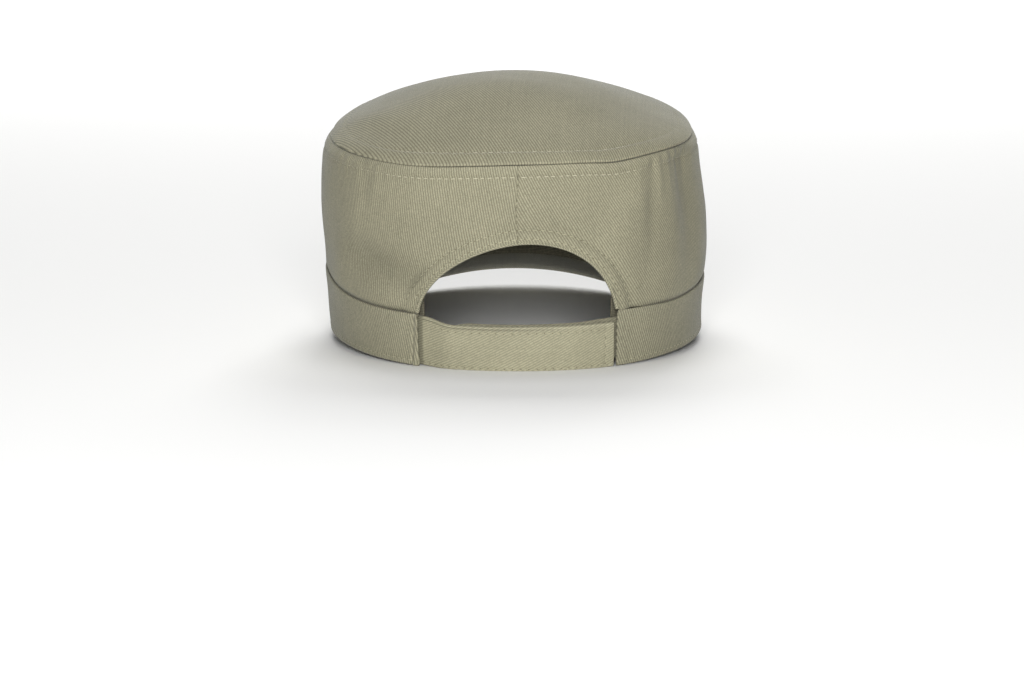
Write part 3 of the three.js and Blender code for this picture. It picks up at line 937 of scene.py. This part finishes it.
# The wall's lower edge: over the arch, then along the band to the centre front
def lowEdge(side):
    turns = np.linspace(seamTurn(wall["startsAt"]), bandTurn(side, wall["startsAt"]), wall["archSteps"])
    x, height = archPoint(turns, wall["startsAt"])
    overArch = angleAt(x, height)
    alongBand = np.linspace(overArch[-1], side * np.pi, wall["bandSteps"])[1:]
    angle = np.concatenate([overArch, alongBand])
    height = np.concatenate([height, bandSeam(alongBand)])
    points = underSkin(angle, height, 0)
    length = np.concatenate([[0], np.cumsum(np.linalg.norm(np.diff(points, axis=0), axis=1))])
    foot = len(overArch) - 1
    startAngle = angleAt(np.array([float(backSeamX)]), np.array([float(crownHeight["back"])]))[0]
    spread = side * math.radians(wall["fan"])
    topAngle = np.where(
        np.arange(len(angle)) < foot,
        mix(startAngle, spread, length / length[foot]),
        mix(spread, side * np.pi, (length - length[foot]) / (length[-1] - length[foot])),
    )
    return length / length[-1], angle, height, topAngle


def placeWall(side):
    share, edgeAngle, edgeHeight, edgeTop = lowEdge(side)

    def place(u, v):
        at = closerAtEnds(u, wall["closerColumns"])
        straight, rolled = rowShares(wall, v)
        row = closerAtEnds(straight, wall["closerRows"])
        up, inward, turn = rollOver(rolled, wall["roll"], 0, math.pi / 2, wall["tail"])
        lowAngle = np.interp(at, share, edgeAngle)
        angle = mix(lowAngle, np.interp(at, share, edgeTop), row)
        high = seamHeight(angle) - wall["seamDrop"] - wall["roll"]
        height = mix(np.interp(at, share, edgeHeight), high, row)
        relief = wallRelief(angle, height) * (1 - rolled)
        fromTop = high - height
        height = height + up
        points = underSkin(angle, height, inward - relief)
        fromSeam = points[:, 0] - backSeamX
        points[:, 0] += seamWander(points, height)
        return {
            "points": points,
            "flat": (-roundLength(angle), height),
            # painted shade in the top seam, along the back seam, in the crease over the band and in the folds
            "shaded": np.maximum.reduce([
                paintedSeamShade(angle) * ease(*wall["rollPaintedShade"], turn),
                streak(fromSeam, *backSeam["dark"]) * (points[:, 1] > 0),
                streak(height - bandSeam(angle), *wall["tuckedPaintedShade"]) * seamDepth(angle),
                wall["foldPaintedShade"] * dents(wallFolds, roundLength(angle), height),
            ]),
            "worn": streak(fromTop, *wall["wear"]),
        }
    return place


wallPieces = {}
for side, name in ((1, "left"), (-1, "right")):
    piece = layCloth(f"wall{name.capitalize()}Cloth", wall["columns"], wall["rows"], placeWall(side),
                     wall["ribAngle"][name])
    turnOutwards(piece, insideCap)
    finishCloth(piece, washedTwill, wall["thickness"], soften=False)
    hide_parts(f"wall_{name}")
    wallPieces[name] = piece

# Band: doubled cloth whose upper fold lies over the wall's edge, with a rounded fold at its left end
band = {
    "columns": 280,
    "rows": 16,
    "rollFrom": 0.68,
    "roll": 0.9,
    "tail": 1.3,
    "proud": 0.5,
    "thickness": 1.3,
    "proudFrom": 0.55,         # share of its height at which it starts to stand out over the wall
    "proudTo": 0.95,
    "sewnAt": 2.3,             # mm above its lower edge
    "sewnPull": 0.2,
    "sewnWide": 0.5,
    "hemProud": 0.12,
    "hemFrom": 1.6,
    "hemTo": 2.8,
    "gatherPitch": 5.1,
    "endLevel": 0.1,           # share of the wall's height at which its end is measured
    "endFold": 2.3,            # mm wide
    "endProud": 0.5,
    "endGroove": (0.2, 0.5),   # mm from the fold and wide
    "ribAngle": 106,
    "uneven": 0.2,
    "waves": {"seed": 23, "shortest": 25, "longest": 70},
    "closerColumns": 0.88,
    "closerRows": 0.5,
    "dark": 0.16,              # painted shade: a little darker all over than the walls
    # painted shade in the seam where the band's fold meets the wall, over these radians round the fold
    "rollPaintedShade": 0.8,
    "rollPaintedShadeAt": (0.8, 1.4),
    "foldWear": (0.7, 0.3, 0.4),
    "hemWear": (0.4, 0, 0.9),
    "sewnSpan": (0.006, 0.994),    # share of the way round
}
aroundCap = 2 * roundLength(np.pi)


def flatLength(angle):    # length round the cap without a jump at the front
    return roundLength(angle) + np.where(angle < 0, aroundCap, 0)


def bandRelief(angle, height):
    x, y = planPoint(angle, band["endLevel"])
    fromLeftEnd = np.where((y > 0) & (x > 0), x - edgeX(1), farAway)
    fold = band["endFold"] / 2
    rounded = np.sqrt(np.maximum(0, 1 - ((fromLeftEnd - fold) / fold) ** 2))
    away, wide = band["endGroove"]
    beside = line(fromLeftEnd, band["endFold"] + away, wide)
    relief = band["proud"] * ease(band["proudFrom"], band["proudTo"], height / bandSeam(angle))
    relief = relief + band["hemProud"] * ease(band["hemTo"], band["hemFrom"], height)
    relief = relief - streak(height, band["sewnPull"], band["sewnAt"], band["sewnWide"])
    relief = relief + band["endProud"] * (rounded - beside)
    relief = relief + gathers(flatLength(angle), height - band["sewnAt"], band["gatherPitch"])
    return relief + band["uneven"] * waves((flatLength(angle), height), **band["waves"])


def bandSurface(angle, height):
    return underSkin(angle, height, -bandRelief(angle, height))


def placeBand(u, v):
    straight, rolled = rowShares(band, v)
    row = closerAtEnds(straight, band["closerRows"])
    up, inward, turn = rollOver(rolled, band["roll"], 0, math.pi / 2, band["tail"])
    angle = roundFront(closerAtEnds(u, band["closerColumns"]), row * bandHeight["front"], 0)
    height = row * (bandSeam(angle) - band["roll"])
    relief = bandRelief(angle, height)
    height = height + up
    points = underSkin(angle, height, inward * seamDepth(angle) - relief)
    return {
        "points": points,
        "flat": (-flatLength(angle), height),
        # painted shade all over and in the fold's seam
        "shaded": band["dark"] + band["rollPaintedShade"] * ease(*band["rollPaintedShadeAt"], turn) * seamDepth(angle),
        "worn": streak(turn, *band["foldWear"]) + streak(height, *band["hemWear"]),
    }


bandPiece = layCloth("bandCloth", band["columns"], band["rows"], placeBand, band["ribAngle"])
turnOutwards(bandPiece, insideCap)
finishCloth(bandPiece, washedTwill, band["thickness"])
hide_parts("band")

# Rolled edge over the arch, from the band's left end to its right end
archRoll = {
    "steps": 110, "around": 14, "middle": 0.7, "halfWidth": 0.7, "depth": 0.8, "halfDepth": 1.0, "girth": 6,
    "ribAngle": 50, "worn": 0.8,
}


def placeArchRoll(u, v):
    turn = mix(bandTurn(1, 0), bandTurn(-1, 0), u)
    section = 2 * np.pi * v
    outwards = archRoll["middle"] + archRoll["halfWidth"] * np.cos(section)
    x, height = archPoint(turn, outwards)
    depth = archRoll["depth"] + archRoll["halfDepth"] * np.sin(section)
    points = underSkin(angleAt(x, height), height, depth)
    reach = opening["left"]["reach"]
    return {"points": points, "flat": (reach * turn, archRoll["girth"] * v), "worn": archRoll["worn"]}


roll = layCloth("archRolledEdge", archRoll["steps"], archRoll["around"], placeArchRoll, archRoll["ribAngle"])
mergeEdges(roll, closeEnds=True)
finishCloth(roll, washedTwill)
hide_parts("opening_binding")

# Adjusting straps: folded twill, the outer one sewn in on the left and the inner one on the right
outerStrap = {
    "tuckedX": 53, "freeX": -41.7, "bottom": 0, "top": 19.7, "tuckedLift": 2, "thickness": 2, "proud": 0.3,
    "side": 1, "tuckDepth": 2.3, "columns": 110, "around": 100, "ribAngle": 27, "endDrop": 0,
    "topRoll": 1.0,            # mm, height of the rolled upper edge
    "rollRidge": (0.12, 0.6, 0.5),
    "crease": (0.3, 0.4),      # mm under the roll and wide
    "creaseDepth": 0.32,
    "creaseFlat": -34,         # between these places the crease under the roll fades in
    "creaseFull": 4,
    "sewnFrom": 35,            # where its upper row of stitches starts
    "sewnBelowTop": 2.9,
    "sewnAboveBottom": 1.6,
    "sewnFromEnd": 3.6,
    "sewnPull": {"top": 0.18, "bottom": 0.2, "end": 0.2, "wide": 0.5},
    "gatherPitch": 5.3,
    "uneven": 0.16,
    "waves": {"seed": 31, "shortest": 18, "longest": 50},
}
innerStrap = {
    "tuckedX": -53, "freeX": 34, "bottom": 2.5, "top": 20.2, "tuckedLift": 0.8, "thickness": 1.5,
    "proud": -3.2, "side": -1, "tuckDepth": 2.3, "columns": 60, "around": 36, "ribAngle": 27, "endDrop": 2.4,
}
# Where a strap steps in behind the band's end, and how far before that its painted shadow line starts and is
# full
strapStep = {"from": 27, "to": 41.7, "shadowFrom": 1.4, "shadowFull": 0.2}
hookTape = {
    "tuckedX": 26, "freeX": -28, "bottom": 3.5, "top": 17.5, "tuckedLift": 0, "thickness": 1.2, "proud": -2.0,
    "side": 1, "tuckDepth": 2.0, "columns": 40, "around": 24, "ribAngle": 90, "endDrop": 0,
}
# What the three have in common. Wear is a streak: how strong, how far from the edge, how wide.
strapCloth = {
    "closerColumns": 0.6, "endDropLength": 14, "frontPart": 0.6, "bottomWear": (0.5, 0, 0.9),
    # painted shade in the crease under the top roll and over a plain strap's top, and painted shadow under
    # the band
    "topWear": (0.9, 0.6, 1.0), "creasePaintedShade": 0.75, "plainTopPaintedShade": (6, 1), "underBandPaintedShadow": 0.9,
}
# Shares of the columns round a strap: few on the front's lower part, more over the top fold
foldShares = {"lowFront": 0.28, "topFold": 0.27, "finePart": 4}


def strapSection(share, height, thickness):    # round the folded strap: front, top, back, bottom
    r = thickness / 2
    straight = height - thickness
    bend = np.pi * r
    low = np.minimum(share / foldShares["lowFront"], 1) * (straight - foldShares["finePart"])
    past = share - foldShares["lowFront"]
    fine = np.clip(past / foldShares["topFold"], 0, 1) * (foldShares["finePart"] + bend)
    past = (past - foldShares["topFold"]) / (1 - foldShares["lowFront"] - foldShares["topFold"])
    at = low + fine + np.clip(past, 0, 1) * (straight + bend)
    onTop = np.clip((at - straight) / r, 0, np.pi)
    onBottom = np.clip((at - 2 * straight - bend) / r, 0, np.pi)
    up = r + np.clip(at, 0, straight) + r * np.sin(onTop)
    up = up - np.clip(at - straight - bend, 0, straight) - r * np.sin(onBottom)
    depth = r * (1 - np.cos(onTop)) - r * (1 - np.cos(onBottom))
    return up, depth, at


def tuckedShare(strap, x):
    return ease(strapStep["from"], strapStep["to"], strap["side"] * x)


def strapDepth(strap, x):
    return mix(-strap["proud"], strap["tuckDepth"], tuckedShare(strap, x))


def strapTop(strap, x):    # rises to the sewn end, and drops at the free one if that is rounded
    lifted = strap["tuckedLift"] * tuckedShare(strap, x)
    fromEnd = (x - strap["freeX"]) * strap["side"]
    return strap["top"] + lifted - strap["endDrop"] * ease(strapCloth["endDropLength"], 0, fromEnd)


def foldCrease(x, fromTop):    # under the rolled upper edge, flat towards the free end
    below, wide = outerStrap["crease"]
    fullness = ease(outerStrap["creaseFlat"], outerStrap["creaseFull"], x)
    return line(fromTop, outerStrap["topRoll"] + below, wide) * fullness


def strapRelief(x, fromBottom, fromTop):    # only the outer strap has it
    pull = outerStrap["sewnPull"]
    topRow = line(fromTop, outerStrap["sewnBelowTop"], pull["wide"]) * (x < outerStrap["sewnFrom"] + 1)
    bottomRow = line(fromBottom, outerStrap["sewnAboveBottom"], pull["wide"])
    endRow = line(x, outerStrap["freeX"] + outerStrap["sewnFromEnd"], pull["wide"])
    relief = streak(fromTop, *outerStrap["rollRidge"]) - outerStrap["creaseDepth"] * foldCrease(x, fromTop)
    relief = relief + gathers(x, fromBottom - outerStrap["sewnAboveBottom"], outerStrap["gatherPitch"])
    relief = relief - pull["top"] * topRow - pull["bottom"] * bottomRow - pull["end"] * endRow
    return relief + outerStrap["uneven"] * waves((x, fromBottom), **outerStrap["waves"])


def placeStrap(strap, detailed):
    def place(u, v):
        x = mix(strap["tuckedX"], strap["freeX"], closerAtEnds(u, strapCloth["closerColumns"]))
        tall = strapTop(strap, x) - strap["bottom"]
        up, depth, around = strapSection(v, tall, strap["thickness"])
        height = strap["bottom"] + up
        onFront = ease(strap["thickness"] * strapCloth["frontPart"], 0, depth)
        crease = foldCrease(x, tall - up) if detailed else ease(*strapCloth["plainTopPaintedShade"], tall - up)
        toBand = strapStep["to"] - strap["side"] * x
        underBand = strapCloth["underBandPaintedShadow"] * ease(strapStep["shadowFrom"], strapStep["shadowFull"], toBand)
        relief = strapRelief(x, up, tall - up) * onFront if detailed else 0
        points = underSkin(angleAt(x, height), height, strapDepth(strap, x) + depth - relief)
        return {
            "points": points,
            "flat": (-x, around),
            "worn": streak(up, *strapCloth["bottomWear"]) + streak(tall - up, *strapCloth["topWear"]),
            # painted shade under the top roll, and painted shadow where a strap goes in under the band
            "shaded": np.maximum(strapCloth["creasePaintedShade"] * crease * onFront, underBand),
        }
    return place


def makeStrap(name, strap, detailed, material):
    piece = layCloth(name, strap["columns"], strap["around"], placeStrap(strap, detailed), strap["ribAngle"])
    mergeEdges(piece, closeEnds=True)
    return finishCloth(piece, material)


outerPiece = makeStrap("strapOuterCloth", outerStrap, True, strapTwill)
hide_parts("strap_outer")

innerPiece = makeStrap("strapInnerCloth", innerStrap, False, strapTwill)
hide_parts("strap_inner")

tapePiece = makeStrap("hookTapePile", hookTape, False, hookPile)
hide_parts("hook_and_loop")

# Sweatband inside the band, stepping in behind the sewn ends of the straps
sweatband = {
    "columns": 170, "rows": 14, "bottom": 1.6, "top": 30, "thickness": 0.9, "showsPast": 0.2,
    "stepFrom": 54, "stepTo": 64, "shallow": 2.3, "deep": 4.8, "ribAngle": 90,
    "overPeak": 4.2,           # mm that it comes lower at the front, over the end of the peak
    "overAngle": (70, 60),     # degrees from the front, where that starts and where it is full
    "closerColumns": 0.5,
    "closerRows": 0.4,
    "uneven": 0.25,
    "waves": {"seed": 41, "shortest": 22, "longest": 60},
    "endPaintedShade": 0.9,
    "endPaintedShadeFrom": (58, 48),   # painted shade: its ends lie deep in the cap and are painted darker from the first place to the second
    "topWear": (0.5, 0, 1),
}


def placeSweatband(u, v):
    row = closerAtEnds(v, sweatband["closerRows"])
    height = mix(sweatband["bottom"], sweatband["top"], row)
    angle = roundFront(closerAtEnds(u, sweatband["closerColumns"]), height, -sweatband["showsPast"])
    fromFront = 180 - np.degrees(np.abs(angle))
    height = height - sweatband["overPeak"] * (1 - row) * ease(*sweatband["overAngle"], fromFront)
    out = np.where(np.cos(angle) > 0, np.abs(planPoint(angle, 0.0)[0]), sweatband["stepTo"])
    step = ease(sweatband["stepFrom"], sweatband["stepTo"], out)
    depth = mix(sweatband["deep"], sweatband["shallow"], step)
    depth = depth + sweatband["uneven"] * waves((flatLength(angle), height), **sweatband["waves"])
    return {
        "points": underSkin(angle, height, depth),
        "flat": (-flatLength(angle), height),
        # painted shade at its ends
        "shaded": sweatband["endPaintedShade"] * ease(*sweatband["endPaintedShadeFrom"], out),
        "worn": streak(height - sweatband["top"], *sweatband["topWear"]),
    }


size = (sweatband["columns"], sweatband["rows"])
sweatPiece = layCloth("sweatbandCloth", *size, placeSweatband, sweatband["ribAngle"])
turnOutwards(sweatPiece, insideCap)
finishCloth(sweatPiece, plainTape, sweatband["thickness"])
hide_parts("sweatband")

# Peak: twill over a stiff board, bent round the front of the rim, with rows of stitches along its edge
peak = {
    "columns": 120, "rows": 54, "halfWidth": 77.5, "reach": 62, "tipY": -42, "fullness": 2.1,
    "slope": 0.325,
    "thickness": 2.6,
    "lobeThickness": 0.42,     # share of the thickness that is left at the sides
    "taperFrom": 0.8,
    "root": 2.6,               # mm that it reaches in under the band
    "rootHalfAngle": 66,
    "rimGap": 0.5,
    "rootLift": 0.65,          # mm by which its root is pressed up against the band
    "rootReach": 6,
    "ribAngle": 117,
    "edgeDrop": 0.25,          # mm by which its edge is rounded off, and how far in that starts
    "edgeWide": 0.9,
    "edgeRow": 2.0,            # mm from the edge to the first row of stitches
    "rowSpacing": 6.5,
    "rowCount": 7,
    "rowPull": 0.2,
    "rowWide": 0.7,
    "rowEnds": 1.5,            # mm before the rim
    "rowSteps": 801,
    "searched": (-1, 70),      # mm in from its edge
    "closerRows": 0.45,
    "wear": (0.9, 0, 1.2),
}


def rimFrontY(x):
    across = np.abs(x / wallWidths[0]["left"]) ** rim["fullness"]
    ahead = np.maximum(0, 1 - across) ** (1 / rim["fullness"])
    return rim["centreY"] - (rim["front"] + rim["centreY"]) * ahead


def peakTop(x, y):
    angle = np.arctan2(x, np.maximum(y, rimFrontY(x)) - rim["centreY"])
    return archRise(angle) - peak["rimGap"] - peak["slope"] * np.maximum(0, rimFrontY(x) - y)


def peakEdge(share, inset=0):
    turn = share * np.pi / 2
    across = np.abs(np.sin(turn)) ** (2 / peak["fullness"]) * np.sign(turn)
    ahead = np.maximum(0, np.cos(turn)) ** (2 / peak["fullness"])
    tipReach = rim["front"] + peak["reach"] + peak["tipY"] - inset
    return (peak["halfWidth"] - inset) * across, peak["tipY"] - tipReach * ahead


def insetFromPeakEdge(x, y):
    tipReach = rim["front"] + peak["reach"] + peak["tipY"]

    def isInside(inset):
        across = np.abs(x) / (peak["halfWidth"] - inset)
        ahead = np.maximum(0, peak["tipY"] - y) / (tipReach - inset)
        return across ** peak["fullness"] + ahead ** peak["fullness"] <= 1

    return halve(np.shape(x), peak["searched"], halvings["distance"], isInside)


def rowInset(row):
    return peak["edgeRow"] + row * peak["rowSpacing"]


def peakRelief(x, y):
    inset = insetFromPeakEdge(x, y)
    relief = -peak["edgeDrop"] * ease(peak["edgeWide"], 0, inset)
    for row in range(peak["rowCount"]):
        relief = relief - streak(inset, peak["rowPull"], rowInset(row), peak["rowWide"])
    return relief


def peakSurface(x, y):
    pressed = peak["rootLift"] * ease(peak["rootReach"], 0, rimFrontY(x) - y)
    return np.stack([x, y, peakTop(x, y) + peakRelief(x, y) + pressed], axis=-1)


def placePeak(u, v):
    share = 2 * u - 1
    fromFront = share * math.radians(peak["rootHalfAngle"])
    rootX, rootY = planPoint(np.where(fromFront < 0, -np.pi - fromFront, np.pi - fromFront), 0.0)
    tuck = 1 - peak["root"] / np.hypot(rootX, rootY)
    tipX, tipY = peakEdge(share)
    out = closerAtEnds(v, peak["closerRows"])
    x = mix(rootX * tuck, tipX, out)
    y = mix(rootY * tuck, tipY, out)
    return {
        "points": peakSurface(x, y),
        "flat": (-x, -y),
        "worn": streak(insetFromPeakEdge(x, y), *peak["wear"]),
    }


peakPiece = layCloth("peakCloth", peak["columns"], peak["rows"], placePeak, peak["ribAngle"])
farBelow = type(insideCap)((0, peakPiece.data.vertices[0].co.y, -1))
turnOutwards(peakPiece, farBelow)
thin = peakPiece.vertex_groups.new(name="board")
shares = np.linspace(-1, 1, peak["columns"] + 1)
for vertex in peakPiece.data.vertices:
    share = abs(shares[vertex.index % (peak["columns"] + 1)])
    left = float(mix(1, peak["lobeThickness"], ease(peak["taperFrom"], 1, share)))
    thin.add([vertex.index], left, "REPLACE")
finishCloth(peakPiece, washedTwill, peak["thickness"], taper="board")
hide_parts("peak")
print("cloth pieces ready")

# Stitches: each shows as a short rounded thread that dives into the cloth at both ends,
# and between two of them a small dark disc is painted shadow in the needle's hole
stitch = {
    "length": 2.6, "thickness": 0.32, "sunk": 0.05, "sides": 7, "rings": 5, "hole": (0.75, 0.42, 0.15),
    "pitch": 3.1,
    "strapPitch": 3.5,
    "shortLength": 1.6,
    "bow": 0.35,               # share of its thickness by which its ends dive into the cloth
    "strays": 0.05,            # share of the pitch
    "turns": 0.08,             # radians
    "fadeFrom": 43,            # mm from the middle, where the pale rows start to be pulled in deeper
    "fadeTo": 58,
    "fades": {"crown": 0.75, "wall": 0.45},
    "pathSteps": 1600,
    "nudge": 0.0005,           # share of a row, to find which way it runs
}


def modelStitch():
    bpy.ops.object.select_all(action="DESELECT")
    bpy.ops.mesh.primitive_uv_sphere_add(segments=stitch["sides"], ring_count=stitch["rings"], radius=0.5)
    model = bpy.context.object
    bpy.ops.transform.rotate(value=math.pi / 2, orient_axis="Y", center_override=(0, 0, 0))
    bpy.ops.object.transform_apply(location=False, rotation=True, scale=False)
    corners = np.array([vertex.co[:] for vertex in model.data.vertices])
    faces = [list(face.vertices) for face in model.data.polygons]
    mesh = model.data
    bpy.data.objects.remove(model)
    bpy.data.meshes.remove(mesh)
    return corners, faces


stitchCorners, stitchFaces = modelStitch()


def sewRow(name, cloth, path, pitch=stitch["pitch"], span=(0, 1), length=stitch["length"],
           kind="matching", fades=0):
    t = np.linspace(*span, stitch["pathSteps"])
    way = atRest(path(t))
    lengths = np.concatenate([[0], np.cumsum(np.linalg.norm(np.diff(way, axis=0), axis=1))]) / mm
    count = max(1, int(round(lengths[-1] / pitch)))
    dice = np.random.default_rng(count)
    thread = (length, stitch["thickness"], stitch["thickness"])
    parts = [{"shift": 0.5, "size": thread, "sunk": stitch["sunk"]}]
    if kind == "matching":
        parts.append({"shift": 0.0, "size": stitch["hole"], "sunk": 0.0})
    corners = []
    for part in parts:
        strayed = dice.uniform(-stitch["strays"], stitch["strays"], count)
        places = (np.arange(count) + part["shift"] + strayed) / count * lengths[-1]
        at = np.clip(np.interp(places, lengths, t), span[0], span[1])
        nudge = (span[1] - span[0]) * stitch["nudge"]
        ways = atRest(path(at + nudge)) - atRest(path(at - nudge))
        yaws = dice.uniform(-stitch["turns"], stitch["turns"], count)
        for middle, way, yaw in zip(atRest(path(at)), ways, yaws):
            sinks = fades * ease(stitch["fadeFrom"], stitch["fadeTo"], abs(middle[0]) / mm)
            found, spot, outwards, index = cloth.closest_point_on_mesh(middle)
            outwards = np.array(outwards)
            across = np.cross(outwards, way)
            across = across / np.linalg.norm(across)
            along = np.cross(across, outwards) + yaw * across
            model = stitchCorners * np.array(part["size"]) * np.array((1, 1 - sinks, 1 - sinks))
            dive = stitch["bow"] * (2 * stitchCorners[:, 0]) ** 2 * part["size"][2]
            bow = model[:, 2] - dive - part["sunk"]
            offset = np.outer(model[:, 0], along) + np.outer(model[:, 1], across) + np.outer(bow, outwards)
            corners.append(np.array(spot) + mm * offset)
    starts = range(0, len(corners) * len(stitchCorners), len(stitchCorners))
    faces = [[corner + start for corner in face] for start in starts for face in stitchFaces]
    mesh = bpy.data.meshes.new(name)
    mesh.from_pydata(np.concatenate(corners).tolist(), [], faces)
    mesh.materials.append(threadMaterials[kind])
    mesh.materials.append(needleHoleShadows)
    inHoleShadow = np.arange(len(faces)) >= count * len(stitchFaces)
    mesh.polygons.foreach_set("material_index", inHoleShadow.astype(np.int32))
    mesh.polygons.foreach_set("use_smooth", np.ones(len(faces), bool))
    mesh.update()
    row = bpy.data.objects.new(name, mesh)
    bpy.context.scene.collection.objects.link(row)
    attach(row, bodyName)
    sewnOn[cloth.name].append(row)
    print(row.name, "sewn with", count, "stitches")


def crownRow(t):
    angle = 2 * np.pi * t - np.pi
    seamX, seamY, reach = toSeam(angle)
    return crownSurface(angle, 1 - crown["sewnAt"] / reach)


def wallRow(side):
    def path(t):
        starts = wall["rowStarts"]
        start = angleAt(0 * t + backSeamX + side * starts["past"], 0 * t + starts["height"])
        angle = mix(start, side * (np.pi - wall["rowStops"]), t)
        return wallSurface(angle, seamHeight(angle) - wall["seamDrop"] - wall["sewnBelowTop"])
    return path


def archRow(side, outwards):
    def path(t):
        x, height = archPoint(mix(seamTurn(outwards), bandTurn(side, outwards), t), outwards)
        return wallSurface(angleAt(x, height), height)
    return path


def backSeamRow(t):
    height = mix(opening["apexHeight"] + backSeam["rowFrom"], crownHeight["back"] - backSeam["rowTo"], t)
    return wallSurface(angleAt(backSeamX + 0 * t, height), height)


def hemRow(t):
    height = band["sewnAt"] + 0 * t
    return bandSurface(roundFront(t, height, 0), height)


def strapPoint(x, fromBottom):
    relief = strapRelief(x, fromBottom, strapTop(outerStrap, x) - fromBottom)
    return underSkin(angleAt(x, fromBottom), fromBottom, strapDepth(outerStrap, x) - relief)


def strapTopRow(t):
    x = mix(outerStrap["sewnFrom"], outerStrap["freeX"] + outerStrap["sewnFromEnd"], t)
    return strapPoint(x, strapTop(outerStrap, x) - outerStrap["sewnBelowTop"])


def strapBottomRow(t):
    x = mix(strapStep["to"] - 1, outerStrap["freeX"] + outerStrap["sewnFromEnd"], t)
    return strapPoint(x, outerStrap["sewnAboveBottom"] + 0 * t)


def strapEndRow(t):
    height = mix(outerStrap["sewnAboveBottom"], outerStrap["top"] - outerStrap["sewnBelowTop"], t)
    return strapPoint(outerStrap["freeX"] + outerStrap["sewnFromEnd"] + 0 * t, height)


def peakRow(inset):
    def path(t):
        x, y = peakEdge(2 * t - 1, inset)
        return peakSurface(x, y)
    return path


sewnPieces = [topPanel, wallPieces["left"], wallPieces["right"], bandPiece, outerPiece, peakPiece]
sewnOn = {cloth.name: [] for cloth in sewnPieces}
sewRow("crownTopStitches", topPanel, crownRow, kind="pale", fades=stitch["fades"]["crown"])
for side, name in ((1, "left"), (-1, "right")):
    cloth = wallPieces[name]
    title = name.capitalize()
    sewRow(f"wallTopStitches{title}", cloth, wallRow(side), kind="pale", fades=stitch["fades"]["wall"])
    sewRow(f"archOuterStitches{title}", cloth, archRow(side, wall["sewnPastArch"]))
    sewRow(f"archInnerStitches{title}", cloth, archRow(side, wall["innerRowPastArch"]))
sewRow("backSeamStitches", wallPieces["left"], backSeamRow, length=stitch["shortLength"])
sewRow("bandHemStitches", bandPiece, hemRow, span=band["sewnSpan"])
for edge, path in (("Top", strapTopRow), ("Bottom", strapBottomRow), ("End", strapEndRow)):
    sewRow(f"strap{edge}Stitches", outerPiece, path, stitch["strapPitch"])
for row in range(peak["rowCount"]):
    shares = np.linspace(-1, 1, peak["rowSteps"])
    x, y = peakEdge(shares, rowInset(row))
    inFront = shares[y < rimFrontY(x) - peak["rowEnds"]]
    span = ((inFront[0] + 1) / 2, (inFront[-1] + 1) / 2)
    sewRow(f"peakStitches{row + 1}", peakPiece, peakRow(rowInset(row)), span=span)
print("stitches ready")
